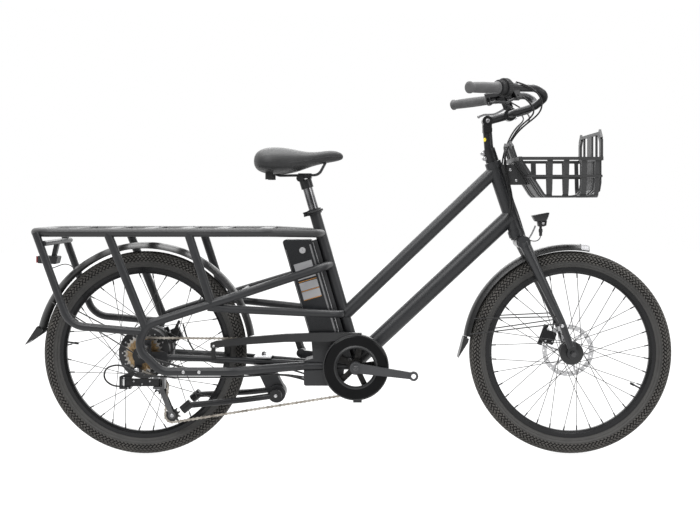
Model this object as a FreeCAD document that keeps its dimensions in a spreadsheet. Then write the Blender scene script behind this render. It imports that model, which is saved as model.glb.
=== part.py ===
"""Long-tail cargo bicycle with an electric rear hub, a rack, a front basket and a twin-tube frame.

Millimetres. +X is forward, +Y is the rider's left, +Z is up, and the wheels stand on Z = 0.
The drive side is the right side, so chain, sprockets and derailleur have negative Y.
"""
import FreeCAD, Part
import math
import os

from FreeCAD import Placement, Rotation, Vector

doc = FreeCAD.newDocument("CargoBicycle")

# ---------------------------------------------------------------- driving dimensions

DIMENSIONS = {
    # wheels
    "wheel_radius": 310, "tyre_half_width": 29, "bead_radius": 254, "rim_flange_radius": 260,
    "rim_half_width": 15, "rim_inner_radius": 241, "spoke_radius": 1.0, "spoke_count": 36,
    "rear_axle_x": -622, "front_axle_x": 678, "rotor_radius": 80, "rotor_thickness": 1.8,
    "motor_radius": 76, "axle_radius": 6, "front_hub_flange_radius": 39,
    "rear_dropout_inner": 76, "front_dropout_inner": 50,
    # frame
    "bracket_x": 22, "bracket_z": 272, "shell_radius": 22, "shell_half_width": 36.5,
    "seat_tube_od": 34.9, "seat_bore_radius": 15.05, "seat_angle": 73.8,
    "upper_tube_od": 40, "lower_tube_od": 50, "main_tube_wall": 2.2,
    "head_tube_radius": 22, "head_bore_radius": 18, "head_angle": 71.5,
    "loop_od": 25.4, "stay_od": 25.4, "lower_rail_od": 23, "stay_wall": 2, "rack_half_width": 160,
    "rack_z": 680, "rack_rear_x": -944, "slat_width": 38, "slat_thickness": 6,
    # cranks and drive
    "chain_pitch": 12.7, "chain_y": -46, "sprocket_pitch": 5, "crank_length": 175,
    "crank_angle": -7.9, "chainring_teeth": 40, "rear_teeth": 24, "pulley_teeth": 11,
    "spindle_radius": 8.5, "pedal_hole_radius": 7.1,
    "guard_radius": 100, "guard_opening_radius": 57,
    # seat and steering
    "post_radius": 15, "steerer_radius": 14.3, "leg_top_radius": 17.5, "leg_end_radius": 10.5,
    "bar_radius": 11.1, "grip_radius": 16.5, "shifter_radius": 27,
    # battery and stand
    "battery_width": 78, "battery_depth": 82, "stand_leg_radius": 9,
    # fits
    "running_clearance": 0.05,
}

dims = doc.addObject("Spreadsheet::Sheet", "dims")
for row, (name, value) in enumerate(DIMENSIONS.items(), start=1):
    dims.set(f"A{row}", name)
    dims.set(f"B{row}", str(value))
    dims.setAlias(f"B{row}", name)
doc.recompute()


def dim(name):
    """The value of one driving dimension, read from the sheet."""
    return float(dims.get(name))


# ---------------------------------------------------------------- helpers

NODES = []
X_AXIS = Vector(1, 0, 0)
Y_AXIS = Vector(0, 1, 0)
Z_AXIS = Vector(0, 0, 1)


def keep(obj, label):
    """Name an object as one sub-part, to be written as one file."""
    obj.Label = label
    NODES.append(obj)
    return obj


def lift(point, y=None, x=0, z=0):
    """A copy of a point, moved by x and z, and set to a new y when one is given."""
    return Vector(point.x + x, point.y if y is None else y, point.z + z)


def mirrored(points):
    """The same points on the other side of the bicycle."""
    return [Vector(p.x, -p.y, p.z) for p in points]


def rod(name, start, end, radius):
    """A solid cylinder between two points; radius is an expression."""
    obj = doc.addObject("Part::Cylinder", name)
    obj.setExpression("Radius", radius)
    obj.Height = (end - start).Length
    obj.Placement = Placement(start, Rotation(Z_AXIS, end - start))
    return obj


def cone(name, start, end, radius_start, radius_end):
    """A solid cone between two points; the radii are expressions."""
    obj = doc.addObject("Part::Cone", name)
    obj.setExpression("Radius1", radius_start)
    obj.setExpression("Radius2", radius_end)
    obj.Height = (end - start).Length
    obj.Placement = Placement(start, Rotation(Z_AXIS, end - start))
    return obj


def block(name, centre, size, rotation=None):
    """A box by its centre; size holds three numbers or expressions."""
    obj = doc.addObject("Part::Box", name)
    for prop, value in zip(("Length", "Width", "Height"), size):
        obj.setExpression(prop, str(value))
    doc.recompute([obj])
    half = Vector(float(obj.Length), float(obj.Width), float(obj.Height)) * 0.5
    turn = rotation or Rotation()
    obj.Placement = Placement(centre - turn.multVec(half), turn)
    return obj


def fuse(name, *shapes):
    obj = doc.addObject("Part::MultiFuse", name)
    obj.Shapes = list(shapes)
    obj.Refine = True
    return obj


def cut(name, base, *tools):
    """The base less every tool."""
    obj = doc.addObject("Part::Cut", name)
    obj.Base = base
    obj.Tool = tools[0] if len(tools) == 1 else fuse(name + "_tools", *tools)
    return obj


def group(name, *members):
    """Separate solids that make one sub-part."""
    obj = doc.addObject("Part::Compound", name)
    obj.Links = list(members)
    return obj


def feature(name, shape):
    """A sub-part whose shape comes from Part's own functions."""
    obj = doc.addObject("Part::Feature", name)
    obj.Shape = shape
    return obj


def tube(name, start, end, outer, bore, *trims):
    """A straight tube, open at both ends, less the solids that it is coped to."""
    along = (end - start).normalize()
    outside = rod(name + "_outside", start, end, outer)
    inside = rod(name + "_bore", start - along, end + along, bore)
    return cut(name, outside, inside, *trims)


def path_wire(points, bend):
    """Straight runs joined by tangent arcs of one radius, or smaller where the runs are short."""
    edges = []
    last = points[0]
    for before, corner, after in zip(points, points[1:], points[2:]):
        to_before = before - corner
        to_after = after - corner
        turn = math.pi - to_before.getAngle(to_after)
        room = 0.49 * min(to_before.Length, to_after.Length)
        reach = min(bend * math.tan(turn / 2), room)
        radius = reach / math.tan(turn / 2)
        to_before.normalize()
        to_after.normalize()
        arc_start = corner + to_before * reach
        arc_end = corner + to_after * reach
        towards = (to_before + to_after).normalize()
        middle = corner + towards * (math.hypot(radius, reach) - radius)
        edges.append(Part.LineSegment(last, arc_start).toShape())
        edges.append(Part.Arc(arc_start, middle, arc_end).toShape())
        last = arc_end
    edges.append(Part.LineSegment(last, points[-1]).toShape())
    return Part.Wire(edges)


def sweep(points, radius, bend):
    """A round solid along straight runs and arcs."""
    wire = path_wire(points, bend)
    along = points[1] - points[0]
    ring = Part.Wire([Part.Circle(points[0], along, radius).toShape()])
    return wire.makePipeShell([ring], True, True)


def bent_tube(points, outer_diameter, wall, bend, trims=()):
    """A hollow bent tube, less the solids that it is coped to."""
    shape = sweep(points, outer_diameter / 2, bend).cut(sweep(points, outer_diameter / 2 - wall, bend))
    for trim in trims:
        shape = shape.cut(trim)
    return largest(shape)


def cable(points, radius, trims=()):
    """A held cable: each arc is as large as its two runs allow."""
    shape = sweep(points, radius, 400)
    for trim in trims:
        shape = shape.cut(trim)
    return max(shape.Solids, key=lambda solid: solid.Volume)


def origin_plane(body, role):
    return next(item for item in body.Origin.OriginFeatures if item.Role == role)


def outline(points):
    """Closed straight lines through points given as pairs."""
    corners = [Vector(a, b, 0) for a, b in points]
    return [Part.LineSegment(p, q) for p, q in zip(corners, corners[1:] + corners[:1])]


def sketch(body, name, role, geometry):
    """A sketch on one of its own body's origin planes."""
    obj = body.newObject("Sketcher::SketchObject", name)
    obj.AttachmentSupport = (origin_plane(body, role), [""])
    obj.MapMode = "FlatFace"
    for item in geometry:
        obj.addGeometry(item, False)
    return obj


def padded_body(name, role, geometry, length):
    """A body padded evenly to both sides of its sketch; length is an expression."""
    body = doc.addObject("PartDesign::Body", name)
    profile = sketch(body, name + "_sketch", role, geometry)
    pad = body.newObject("PartDesign::Pad", name + "_pad")
    pad.Profile = profile
    pad.setExpression("Length", length)
    pad.Midplane = True
    body.Tip = pad
    doc.recompute()
    return body


def turned_body(name, points, place):
    """A body turned about the Y axis from (radius, y) points."""
    body = doc.addObject("PartDesign::Body", name)
    profile = sketch(body, name + "_sketch", "XY_Plane", outline(points))
    turn = body.newObject("PartDesign::Revolution", name + "_turn")
    turn.Profile = profile
    turn.ReferenceAxis = (profile, ["V_Axis"])
    turn.Angle = 360
    body.Tip = turn
    body.Placement = Placement(place, Rotation())
    doc.recompute()
    return body


def round_edges(body, name, radius, wanted):
    """Fillet the edges of a body's tip that the wanted function accepts."""
    doc.recompute()
    tip = body.Tip
    names = [f"Edge{i}" for i, edge in enumerate(tip.Shape.Edges, start=1) if wanted(edge)]
    fillet = body.newObject("PartDesign::Fillet", name)
    fillet.Base = (tip, names)
    fillet.Radius = radius
    body.Tip = fillet
    doc.recompute()
    return fillet


# ---------------------------------------------------------------- layout

REAR_AXLE = Vector(dim("rear_axle_x"), 0, dim("wheel_radius"))
FRONT_AXLE = Vector(dim("front_axle_x"), 0, dim("wheel_radius"))
BRACKET = Vector(dim("bracket_x"), 0, dim("bracket_z"))

SEAT_ANGLE = math.radians(dim("seat_angle"))
SEAT_UP = Vector(-math.cos(SEAT_ANGLE), 0, math.sin(SEAT_ANGLE))
SEAT_BACK = Vector(-math.sin(SEAT_ANGLE), 0, -math.cos(SEAT_ANGLE))
SEAT_FOOT = BRACKET + Vector(8.5, 0, 0)
SEAT_TOP = SEAT_FOOT + SEAT_UP * 496
LEVER_HINGE = SEAT_TOP - SEAT_UP * 9 + SEAT_BACK * 28 + Vector(0, -16.5, 0)

HEAD_ANGLE = math.radians(dim("head_angle"))
STEER_UP = Vector(-math.cos(HEAD_ANGLE), 0, math.sin(HEAD_ANGLE))
HEAD_BOTTOM = Vector(516.4, 0, 665.3)
HEAD_TOP = HEAD_BOTTOM + STEER_UP * 239

UPPER_TUBE = (Vector(-14, 0, 424.3), Vector(449, 0, 867.5))
LOWER_TUBE = (Vector(20, 0, 282.7), Vector(496, 0, 726.9))

SIDE = dim("rack_half_width")
RACK_Z = dim("rack_z")
STAY_BEND = 70
LOOP_BEND = 55

# right-hand side; the left side mirrors these
LOOP_PATH = [
    Vector(-58, -8, 578), Vector(-78, -60, 573), Vector(-350, -SIDE, 487), Vector(-590, -SIDE, 410),
    Vector(-621, -SIDE, 343), Vector(-548, -SIDE, 272), Vector(-338, -SIDE, 272),
    Vector(-138, -36, 272), Vector(2, -26, 272),
]
MID_STAY_PATH = [
    Vector(-12, -8, 428), Vector(-33, -60, 431), Vector(-330, -SIDE + 9, 454), Vector(-412, -SIDE, 461),
]
REAR_STAY_PATH = [
    Vector(-917, -SIDE, RACK_Z), Vector(-818.5, -SIDE, 407.6), Vector(-597, -SIDE, 388),
]
SECOND_STAY = (Vector(-706.4, -SIDE, RACK_Z), Vector(-590, -SIDE, 391.4))
THIRD_STAY = (Vector(-469.5, -SIDE, RACK_Z), Vector(-399.5, -SIDE, 466.4))
RAIL_PATH = [
    Vector(-84, -8, RACK_Z - 6), Vector(-94, -64, RACK_Z - 5), Vector(-232, -SIDE, RACK_Z),
    Vector(dim("rack_rear_x") + 12.7, -SIDE, RACK_Z), Vector(dim("rack_rear_x") + 12.7, SIDE, RACK_Z),
    Vector(-232, SIDE, RACK_Z), Vector(-94, 64, RACK_Z - 5), Vector(-84, 8, RACK_Z - 6),
]
SLAT_FRONTS = [-803, -693, -583, -473, -363, -230]

CHAIN_Y = dim("chain_y")
PITCH = dim("chain_pitch")

# ---------------------------------------------------------------- frame: head, main and seat tubes


def make_frame_tubes():
    """The welded tubes, each coped to the ones that it meets."""
    head_outside = rod("head_outside", HEAD_BOTTOM, HEAD_TOP, "dims.head_tube_radius")
    flare_low = rod("head_flare_low", HEAD_BOTTOM, HEAD_BOTTOM + STEER_UP * 20, "dims.head_tube_radius + 3")
    flare_top = rod("head_flare_top", HEAD_TOP - STEER_UP * 20, HEAD_TOP, "dims.head_tube_radius + 3")
    head_solid = fuse("head_solid", head_outside, flare_low, flare_top)
    head_bore = rod("head_bore", HEAD_BOTTOM - STEER_UP, HEAD_TOP + STEER_UP, "dims.head_bore_radius")
    keep(cut("head_tube", head_solid, head_bore), "head_tube")

    shell_ends = [lift(BRACKET, y=side * dim("shell_half_width")) for side in (-1, 1)]
    shell_solid = rod("shell_solid", *shell_ends, "dims.shell_radius")
    shell_bore = rod("shell_bore", lift(BRACKET, y=-50), lift(BRACKET, y=50), "dims.shell_radius - 5")
    shell = cut("shell", shell_solid, shell_bore)
    cups = []
    for side in (-1, 1):
        inner = lift(BRACKET, y=side * 14)
        outer = lift(BRACKET, y=side * (dim("shell_half_width") + 1.5))
        cup = rod(f"cup_{side}", inner, outer, "dims.shell_radius - 5")
        hole = rod(f"cup_hole_{side}", lift(BRACKET, y=side * 10), lift(BRACKET, y=side * 45),
                   "dims.spindle_radius + dims.running_clearance")
        cups.append(cut(f"cup_ring_{side}", cup, hole))
    keep(group("bottom_bracket", shell, *cups), "bottom_bracket")

    seat_outside = rod("seat_outside", SEAT_FOOT, SEAT_TOP, "dims.seat_tube_od / 2")
    seat_bore = rod("seat_bore", SEAT_FOOT - SEAT_UP, SEAT_TOP + SEAT_UP, "dims.seat_bore_radius")
    seat_slot = block("seat_slot", SEAT_TOP + SEAT_BACK * 16, (14, 2.5, 60),
                      Rotation(Z_AXIS, SEAT_UP))
    seat_tube = cut("seat_tube_body", seat_outside, seat_bore, shell_solid, seat_slot)
    collar_low = SEAT_TOP - SEAT_UP * 17
    collar = rod("collar_outside", collar_low, SEAT_TOP - SEAT_UP * 1, "dims.seat_tube_od / 2 + 4.5")
    collar_hole = rod("collar_hole", collar_low - SEAT_UP, SEAT_TOP + SEAT_UP, "dims.seat_tube_od / 2")
    ear_place = SEAT_TOP - SEAT_UP * 9 + SEAT_BACK * 26
    ear = block("collar_ear", ear_place, (16, 16, 14), Rotation(Z_AXIS, SEAT_UP))
    ear_bolt = rod("collar_bolt_hole", lift(LEVER_HINGE, y=-30), lift(LEVER_HINGE, y=30), "3.1")
    clamp = cut("seat_collar", fuse("collar_blank", collar, ear), collar_hole, seat_slot, ear_bolt)
    skewer = fuse("skewer", rod("skewer_rod", lift(LEVER_HINGE, y=-13), lift(LEVER_HINGE, y=17), "3"),
                  rod("skewer_nut", lift(LEVER_HINGE, y=8), lift(LEVER_HINGE, y=15), "7"),
                  rod("skewer_eye", LEVER_HINGE - SEAT_UP * 2.5, LEVER_HINGE + SEAT_UP * 2.5, "5"),
                  rod("skewer_hinge", LEVER_HINGE - SEAT_UP * 7, LEVER_HINGE + SEAT_UP * 7, "1.8"))
    keep(group("seat_tube", seat_tube, clamp, skewer), "seat_tube")

    lower = tube("lower_main_tube", *LOWER_TUBE, "dims.lower_tube_od / 2",
                 "dims.lower_tube_od / 2 - dims.main_tube_wall", head_solid, shell_solid, seat_outside)
    keep(lower, "lower_main_tube")
    upper = tube("upper_main_tube", *UPPER_TUBE, "dims.upper_tube_od / 2",
                 "dims.upper_tube_od / 2 - dims.main_tube_wall", head_solid, seat_outside)
    keep(upper, "upper_main_tube")
    return seat_outside, shell_solid


def make_side_frame(seat_outside, shell_solid):
    """Side loops, mid stays, rack deck, rack stays and the bridges between the two sides."""
    doc.recompute()
    seat_shape = seat_outside.Shape
    shell_shape = shell_solid.Shape
    upper_shape = doc.getObject("upper_main_tube_outside").Shape
    lower_shape = doc.getObject("lower_main_tube_outside").Shape
    wall = dim("stay_wall")
    loops = []
    stays = []
    loop_solids = []
    rear_solids = []
    beyond_seat_tube = Part.makeBox(400, 1000, 1000, Vector(-14, -500, 0))
    rail_solid = sweep(RAIL_PATH, dim("stay_od") / 2, 60)
    for turn in (list, mirrored):
        loop_path = turn(LOOP_PATH)
        loop_solid = sweep(loop_path, dim("loop_od") / 2, LOOP_BEND)
        loop_solids.append(loop_solid)
        loops.append(bent_tube(loop_path, dim("loop_od"), wall, LOOP_BEND,
                               [seat_shape, shell_shape, lower_shape]))
        loops.append(bent_tube(turn(MID_STAY_PATH), dim("lower_rail_od"), wall, 120,
                               [seat_shape, loop_solid, upper_shape, lower_shape, beyond_seat_tube]))
        rear_path = turn(REAR_STAY_PATH)
        rear_solid = sweep(rear_path, dim("lower_rail_od") / 2, STAY_BEND)
        rear_solids.append(rear_solid)
        stays.append(bent_tube(rear_path, dim("lower_rail_od"), wall, STAY_BEND, [rail_solid, loop_solid]))
        for ends in (SECOND_STAY, THIRD_STAY):
            stays.append(straight_stay(turn(ends), [rail_solid, loop_solid, rear_solid]))
    keep(feature("side_loops", Part.makeCompound(loops)), "side_loops")
    keep(feature("rack_stays", Part.makeCompound(stays)), "rack_stays")
    rail = bent_tube(RAIL_PATH, dim("stay_od"), wall, 60, [seat_shape])
    slats = []
    for front in SLAT_FRONTS:
        slat = Part.makeBox(dim("slat_width"), 2 * SIDE, dim("slat_thickness"),
                            Vector(front - dim("slat_width"), -SIDE, RACK_Z + 5))
        slats.append(middle_solid(slat.cut(rail_solid)))
    keep(feature("rack_deck", Part.makeCompound([rail] + slats)), "rack_deck")
    return loop_solids, rear_solids


def straight_stay(ends, trims):
    """A straight hollow stay, coped at both ends."""
    start, end = ends
    along = end - start
    outer = Part.makeCylinder(dim("stay_od") / 2, along.Length, start, along)
    inner = Part.makeCylinder(dim("stay_od") / 2 - dim("stay_wall"), along.Length, start, along)
    shape = outer.cut(inner)
    for trim in trims:
        shape = shape.cut(trim)
    return max(shape.Solids, key=lambda solid: solid.Volume)


def inner_stay_solid(side, radius=9):
    """One inner chain stay, from the bracket shell to the dropout plate."""
    reach = dim("rear_dropout_inner") - 5
    return sweep([Vector(4, side * 14, 272), Vector(-60, side * 17, 272), Vector(-330, side * 52, 292),
                  Vector(-565, side * reach, 303)], radius, 200)


def make_bridges(loop_solids, rear_solids, seat_outside, shell_solid):
    """Inner chain stays, dropout plates, cross tubes and the bracket of the stand."""
    members = []
    dropout = dim("rear_dropout_inner")
    for side in (-1, 1):
        plate = dropout_plate(side * (dropout + 3))
        inner_stay = inner_stay_solid(side)
        for trim in (shell_solid.Shape, plate, seat_outside.Shape):
            inner_stay = inner_stay.cut(trim)
        outrigger = Part.makeCylinder(8, SIDE - dropout - 6, Vector(-604, side * (dropout + 6), 334),
                                      Vector(0, side, 0))
        for trim in loop_solids:
            inner_stay = inner_stay.cut(trim)
            outrigger = outrigger.cut(trim)
        members += [plate, largest(inner_stay), largest(outrigger)]
    for x, z in ((-893, 648), (-322, 496)):
        bar = Part.makeCylinder(8, 2 * SIDE, Vector(x, -SIDE, z), Y_AXIS)
        for trim in loop_solids + rear_solids:
            bar = bar.cut(trim)
        members.append(middle_solid(bar))
    members.append(stand_bracket_shape())
    keep(feature("frame_bridges", Part.makeCompound(members)), "frame_bridges")


def largest(shape):
    """The biggest solid of a cut shape, without the chips that coping leaves."""
    return max(shape.Solids, key=lambda solid: solid.Volume)


def middle_solid(shape):
    """The piece of a cut shape that crosses the middle of the bicycle."""
    return min(shape.Solids, key=lambda solid: abs(solid.CenterOfMass.y))


def dropout_plate(y):
    """A plate with an axle slot, on the right with a hanger for the derailleur."""
    axle = REAR_AXLE
    plate = Part.makeCylinder(26, 6, Vector(axle.x, y - 3, axle.z), Y_AXIS)
    arm = Part.makeBox(78, 6, 26, Vector(axle.x, y - 3, axle.z - 16))
    up = Part.makeBox(26, 6, 46, Vector(axle.x + 4, y - 3, axle.z))
    shape = plate.fuse([arm, up])
    if y < 0:
        shape = shape.fuse(Part.makeBox(22, 6, 40, Vector(axle.x - 20, y - 3, axle.z - 52)))
        hole = Part.makeCylinder(5, 10, Vector(axle.x - 9, y - 5, axle.z - 42), Y_AXIS)
        shape = shape.cut(hole)
    slot = Part.makeCylinder(dim("axle_radius"), 10, Vector(axle.x, y - 5, axle.z), Y_AXIS)
    return shape.cut(slot).removeSplitter()


# ---------------------------------------------------------------- wheels


def ring_solid(edges, place):
    """A closed profile of (radius, y) edges turned about the Y axis."""
    shape = Part.Face(Part.Wire(edges)).revolve(Vector(), Y_AXIS, 360)
    shape.translate(place)
    return Part.Solid(shape) if shape.ShapeType == "Shell" else shape


def lines(points):
    """Open straight edges through (radius, y) pairs."""
    corners = [Vector(a, b, 0) for a, b in points]
    return [Part.LineSegment(p, q).toShape() for p, q in zip(corners, corners[1:])]


def arc(*points):
    """One arc through three (radius, y) pairs."""
    return Part.Arc(*[Vector(a, b, 0) for a, b in points]).toShape()


def tyre_shape(place):
    """A hollow tyre casing that is open to the rim."""
    outer = dim("wheel_radius")
    width = dim("tyre_half_width")
    bead = dim("bead_radius")
    wall = 4
    shoulder = outer - 8
    edges = [
        arc((bead + 7, 12), (bead + 28, width), (shoulder, 19)),
        arc((shoulder, 19), (outer, 0), (shoulder, -19)),
        arc((shoulder, -19), (bead + 28, -width), (bead + 7, -12)),
    ]
    edges += lines([(bead + 7, -12), (bead, -12), (bead, -8), (bead + 8, -8)])
    edges += [
        arc((bead + 8, -8), (bead + 28, wall - width), (shoulder - wall, -16)),
        arc((shoulder - wall, -16), (outer - wall - 1, 0), (shoulder - wall, 16)),
        arc((shoulder - wall, 16), (bead + 28, width - wall), (bead + 8, 8)),
    ]
    edges += lines([(bead + 8, 8), (bead, 8), (bead, 12), (bead + 7, 12)])
    return ring_solid(edges, place)


def rim_shape(place):
    """A box-section rim with two flanges."""
    inner = dim("rim_inner_radius")
    flange = dim("rim_flange_radius")
    half = dim("rim_half_width")
    seat = dim("bead_radius")
    profile = [
        (flange, half), (flange, 12.3), (seat, 12.3), (seat, -12.3), (flange, -12.3), (flange, -half),
        (seat - 5, -half), (inner, -6), (inner, 6), (seat - 5, half), (flange, half),
    ]
    return ring_solid(lines(profile), place)


def spokes_shape(place, flanges):
    """Crossed spokes; each flange is (y, radius), and the two sides alternate round the rim."""
    count = int(dim("spoke_count"))
    spokes = []
    for index in range(count):
        flange_y, flange_radius = flanges[index % 2]
        crossing = 1 if (index // 2) % 2 else -1
        rim_turn = 2 * math.pi * (index + 0.5) / count
        hub_turn = rim_turn + crossing * math.radians(52)
        outward = math.copysign(2.6, flange_y) * crossing
        hub_end = Vector(flange_radius * math.cos(hub_turn), flange_y + outward,
                         flange_radius * math.sin(hub_turn))
        rim_end_radius = dim("rim_inner_radius") - 0.3
        rim_end = Vector(rim_end_radius * math.cos(rim_turn), math.copysign(3, flange_y) + 0.55 * outward,
                         rim_end_radius * math.sin(rim_turn))
        along = rim_end - hub_end
        spokes.append(Part.makeCylinder(dim("spoke_radius"), along.Length, place + hub_end, along))
        nipple_start = place + rim_end - along.normalize() * 13
        nipple = Part.makeCylinder(2.1, 12.6, nipple_start, along)
        spokes[-1] = spokes[-1].fuse(nipple).removeSplitter()
    return Part.makeCompound(spokes)


def rotor_shape(place, y):
    """A brake disc: a slotted ring, six arms and a centre."""
    radius = dim("rotor_radius")
    thick = dim("rotor_thickness")
    ring = Part.makeCylinder(radius, thick).cut(Part.makeCylinder(radius - 15, thick))
    for index in range(24):
        turn = 2 * math.pi * index / 24
        at_radius = radius - 4.5 - 3 * (index % 3)
        place_of_hole = Vector(at_radius * math.cos(turn), at_radius * math.sin(turn), 0)
        hole = Part.makeCylinder(2.4, thick, place_of_hole)
        ring = ring.cut(hole)
    centre = Part.makeCylinder(30, thick)
    arms = []
    for index in range(6):
        arm = Part.makeBox(radius - 36, 6, thick, Vector(28, -3, 0))
        arm.rotate(Vector(28, 0, 0), Z_AXIS, 20)
        arm.rotate(Vector(), Z_AXIS, 60 * index)
        arms.append(arm.common(Part.makeCylinder(radius - 10, thick)))
    disc = ring.fuse([centre] + arms).cut(Part.makeCylinder(19, thick)).removeSplitter()
    disc.rotate(Vector(), X_AXIS, -90)
    disc.translate(lift(place, y=y))
    return disc


def valve_shape(place, turn_degrees):
    """A valve stem that points at the hub."""
    turn = math.radians(turn_degrees)
    inward = Vector(-math.cos(turn), 0, -math.sin(turn))
    start = place - inward * (dim("rim_inner_radius") - 0.2)
    stem = Part.makeCylinder(2.6, 24, start, inward)
    cap = Part.makeCylinder(3.8, 13, start + inward * 20, inward)
    return stem.fuse(cap).removeSplitter()


FRONT_ROTOR_Y = 38
REAR_ROTOR_Y = 58
FRONT_FLANGES = ((-26, 36), (27, 30))
MOTOR_FLANGES = ((-24, 78), (40, 78))


def make_wheels():
    """Tyres, rims, spokes, hubs, brake discs and the fixed axles."""
    for name, place, flanges, valve_turn in (
        ("front", FRONT_AXLE, FRONT_FLANGES, -27.4), ("rear", REAR_AXLE, MOTOR_FLANGES, 172.8),
    ):
        keep(feature(name + "_tyre", tyre_shape(place)), name + "_tyre")
        rim = [rim_shape(place), valve_shape(place, valve_turn)]
        keep(feature(name + "_rim", Part.makeCompound(rim)), name + "_rim")
        spoke_flanges = [(y, radius + 1.4) for y, radius in flanges]
        keep(feature(name + "_spokes", spokes_shape(place, spoke_flanges)), name + "_spokes")

    bore = dim("axle_radius") + dim("running_clearance")
    near_flange = dim("front_hub_flange_radius")
    front_profile = [
        (bore, -44), (16, -44), (18, -33), (near_flange - 3, -31), (near_flange - 3, -24.5), (19, -22),
        (16, -10), (16, 12), (20, 23), (30, 25), (30, 28.5), (21, 30), (21, FRONT_ROTOR_Y),
        (14, FRONT_ROTOR_Y), (14, 44), (bore, 44),
    ]
    front_hub = turned_body("front_hub_shell", front_profile, FRONT_AXLE)
    front_rotor = feature("front_rotor", rotor_shape(FRONT_AXLE, FRONT_ROTOR_Y))
    keep(group("front_hub", front_hub, front_rotor), "front_hub")

    motor = dim("motor_radius")
    motor_profile = [
        (bore + 2, -69), (17, -69), (17, -36), (50, -35), (motor - 8, -30), (motor, -28), (motor + 2, -26),
        (motor + 2, -22), (motor - 3, -20), (motor - 3, 36), (motor + 2, 38), (motor + 2, 42), (motor, 44),
        (motor - 8, 46), (44, 52), (24, 54), (24, REAR_ROTOR_Y), (16, REAR_ROTOR_Y), (16, 66),
        (bore + 2, 66),
    ]
    motor_shell = turned_body("motor_shell", motor_profile, REAR_AXLE)
    rear_rotor = feature("rear_rotor", rotor_shape(REAR_AXLE, REAR_ROTOR_Y))
    keep(group("hub_motor", motor_shell, rear_rotor), "hub_motor")

    make_axle("front_axle", FRONT_AXLE, dim("front_dropout_inner") + 6, "dims.axle_radius", 45)
    make_axle("rear_axle", REAR_AXLE, dim("rear_dropout_inner") + 6, "dims.axle_radius", 69)


def make_axle(name, place, plate_outer, radius, spacer_start):
    """A fixed axle with a spacer and a nut at each end."""
    length = plate_outer + 16
    shaft = rod(name + "_shaft", lift(place, y=-length), lift(place, y=length), radius)
    members = [shaft]
    for side in (-1, 1):
        nut = hexagon(9.5, 9, lift(place, y=side * plate_outer), Vector(0, side, 0))
        members.append(feature(f"{name}_nut_{side}", nut))
        spacer = rod(f"{name}_spacer_{side}", lift(place, y=side * (spacer_start + 0.4)),
                     lift(place, y=side * (plate_outer - 6)), "10")
        members.append(spacer)
    keep(fuse(name, *members), name)


def hexagon(across, height, place, direction):
    """A hexagonal nut without its hole; across is its corner radius."""
    angles = [math.pi * k / 3 for k in range(7)]
    corners = [Vector(across * math.cos(angle), across * math.sin(angle), 0) for angle in angles]
    shape = Part.Face(Part.makePolygon(corners)).extrude(Vector(0, 0, height))
    shape.Placement = Placement(place, Rotation(Z_AXIS, direction))
    return shape


# ---------------------------------------------------------------- drive


def pitch_radius(teeth):
    return PITCH / (2 * math.sin(math.pi / teeth))


def sprocket(teeth, phase, thickness, inner_radius, place):
    """A toothed ring; phase is the angle of one roller seat, and it is centred on place in Y."""
    radius = pitch_radius(teeth)
    tip = radius + 3.2
    seat = 4.15
    step = 2 * math.pi / teeth
    edges = []
    for index in range(teeth):
        angle = phase + index * step
        centre = Vector(radius * math.cos(angle), radius * math.sin(angle), 0)
        inward = Vector(-math.cos(angle), -math.sin(angle), 0)
        across = Vector(-math.sin(angle), math.cos(angle), 0)
        low = centre - across * seat
        bottom = centre + inward * seat
        high = centre + across * seat
        edges.append(Part.Arc(low, bottom, high).toShape())
        tip_angles = (angle + 0.44 * step, angle + 0.56 * step)
        tips = [Vector(tip * math.cos(t), tip * math.sin(t), 0) for t in tip_angles]
        after = angle + step
        next_low = Vector(radius * math.cos(after), radius * math.sin(after), 0)
        next_low -= Vector(-math.sin(after), math.cos(after), 0) * seat
        for start, end in ((high, tips[0]), (tips[0], tips[1]), (tips[1], next_low)):
            edges.append(Part.LineSegment(start, end).toShape())
    disc = Part.Face(Part.Wire(edges)).extrude(Vector(0, 0, thickness))
    disc = disc.cut(Part.makeCylinder(inner_radius, thickness))
    disc.rotate(Vector(), X_AXIS, 90)
    disc.translate(place + Vector(0, thickness / 2, 0))
    return disc


GUIDE = Vector(-569, CHAIN_Y, 212)
CAGE_LENGTH = 94


def belt(tension):
    """The chain's loop as (kind, data, length) pieces, each circle turning the way the chain runs."""
    circles = [
        (Vector(REAR_AXLE.x, CHAIN_Y, REAR_AXLE.z), int(dim("rear_teeth")), 1),
        (Vector(BRACKET.x, CHAIN_Y, BRACKET.z), int(dim("chainring_teeth")), 1),
        (tension, int(dim("pulley_teeth")), 1),
        (GUIDE, int(dim("pulley_teeth")), -1),
    ]
    leaves = []
    for (centre_a, teeth_a, turn_a), (centre_b, teeth_b, turn_b) in zip(circles, circles[1:] + circles[:1]):
        radius_a = turn_a * teeth_a * PITCH / (2 * math.pi)
        radius_b = turn_b * teeth_b * PITCH / (2 * math.pi)
        delta = centre_b - centre_a
        heading = math.atan2(delta.z, delta.x)
        lean = math.asin((radius_a - radius_b) / delta.Length)
        normal_angle = heading + math.pi / 2 - lean
        normal = Vector(math.cos(normal_angle), 0, math.sin(normal_angle))
        leaves.append((centre_a + normal * radius_a, centre_b + normal * radius_b, normal_angle))
    pieces = []
    for index, (start, end, normal_angle) in enumerate(leaves):
        pieces.append(("line", (start, end), (end - start).Length))
        centre, teeth, turn = circles[(index + 1) % 4]
        radius = teeth * PITCH / (2 * math.pi)
        swept = (normal_angle - leaves[(index + 1) % 4][2]) * turn % (2 * math.pi)
        start_angle = normal_angle if turn > 0 else normal_angle + math.pi
        pieces.append(("arc", (centre, radius, start_angle, turn), swept * radius))
    return pieces


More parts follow.
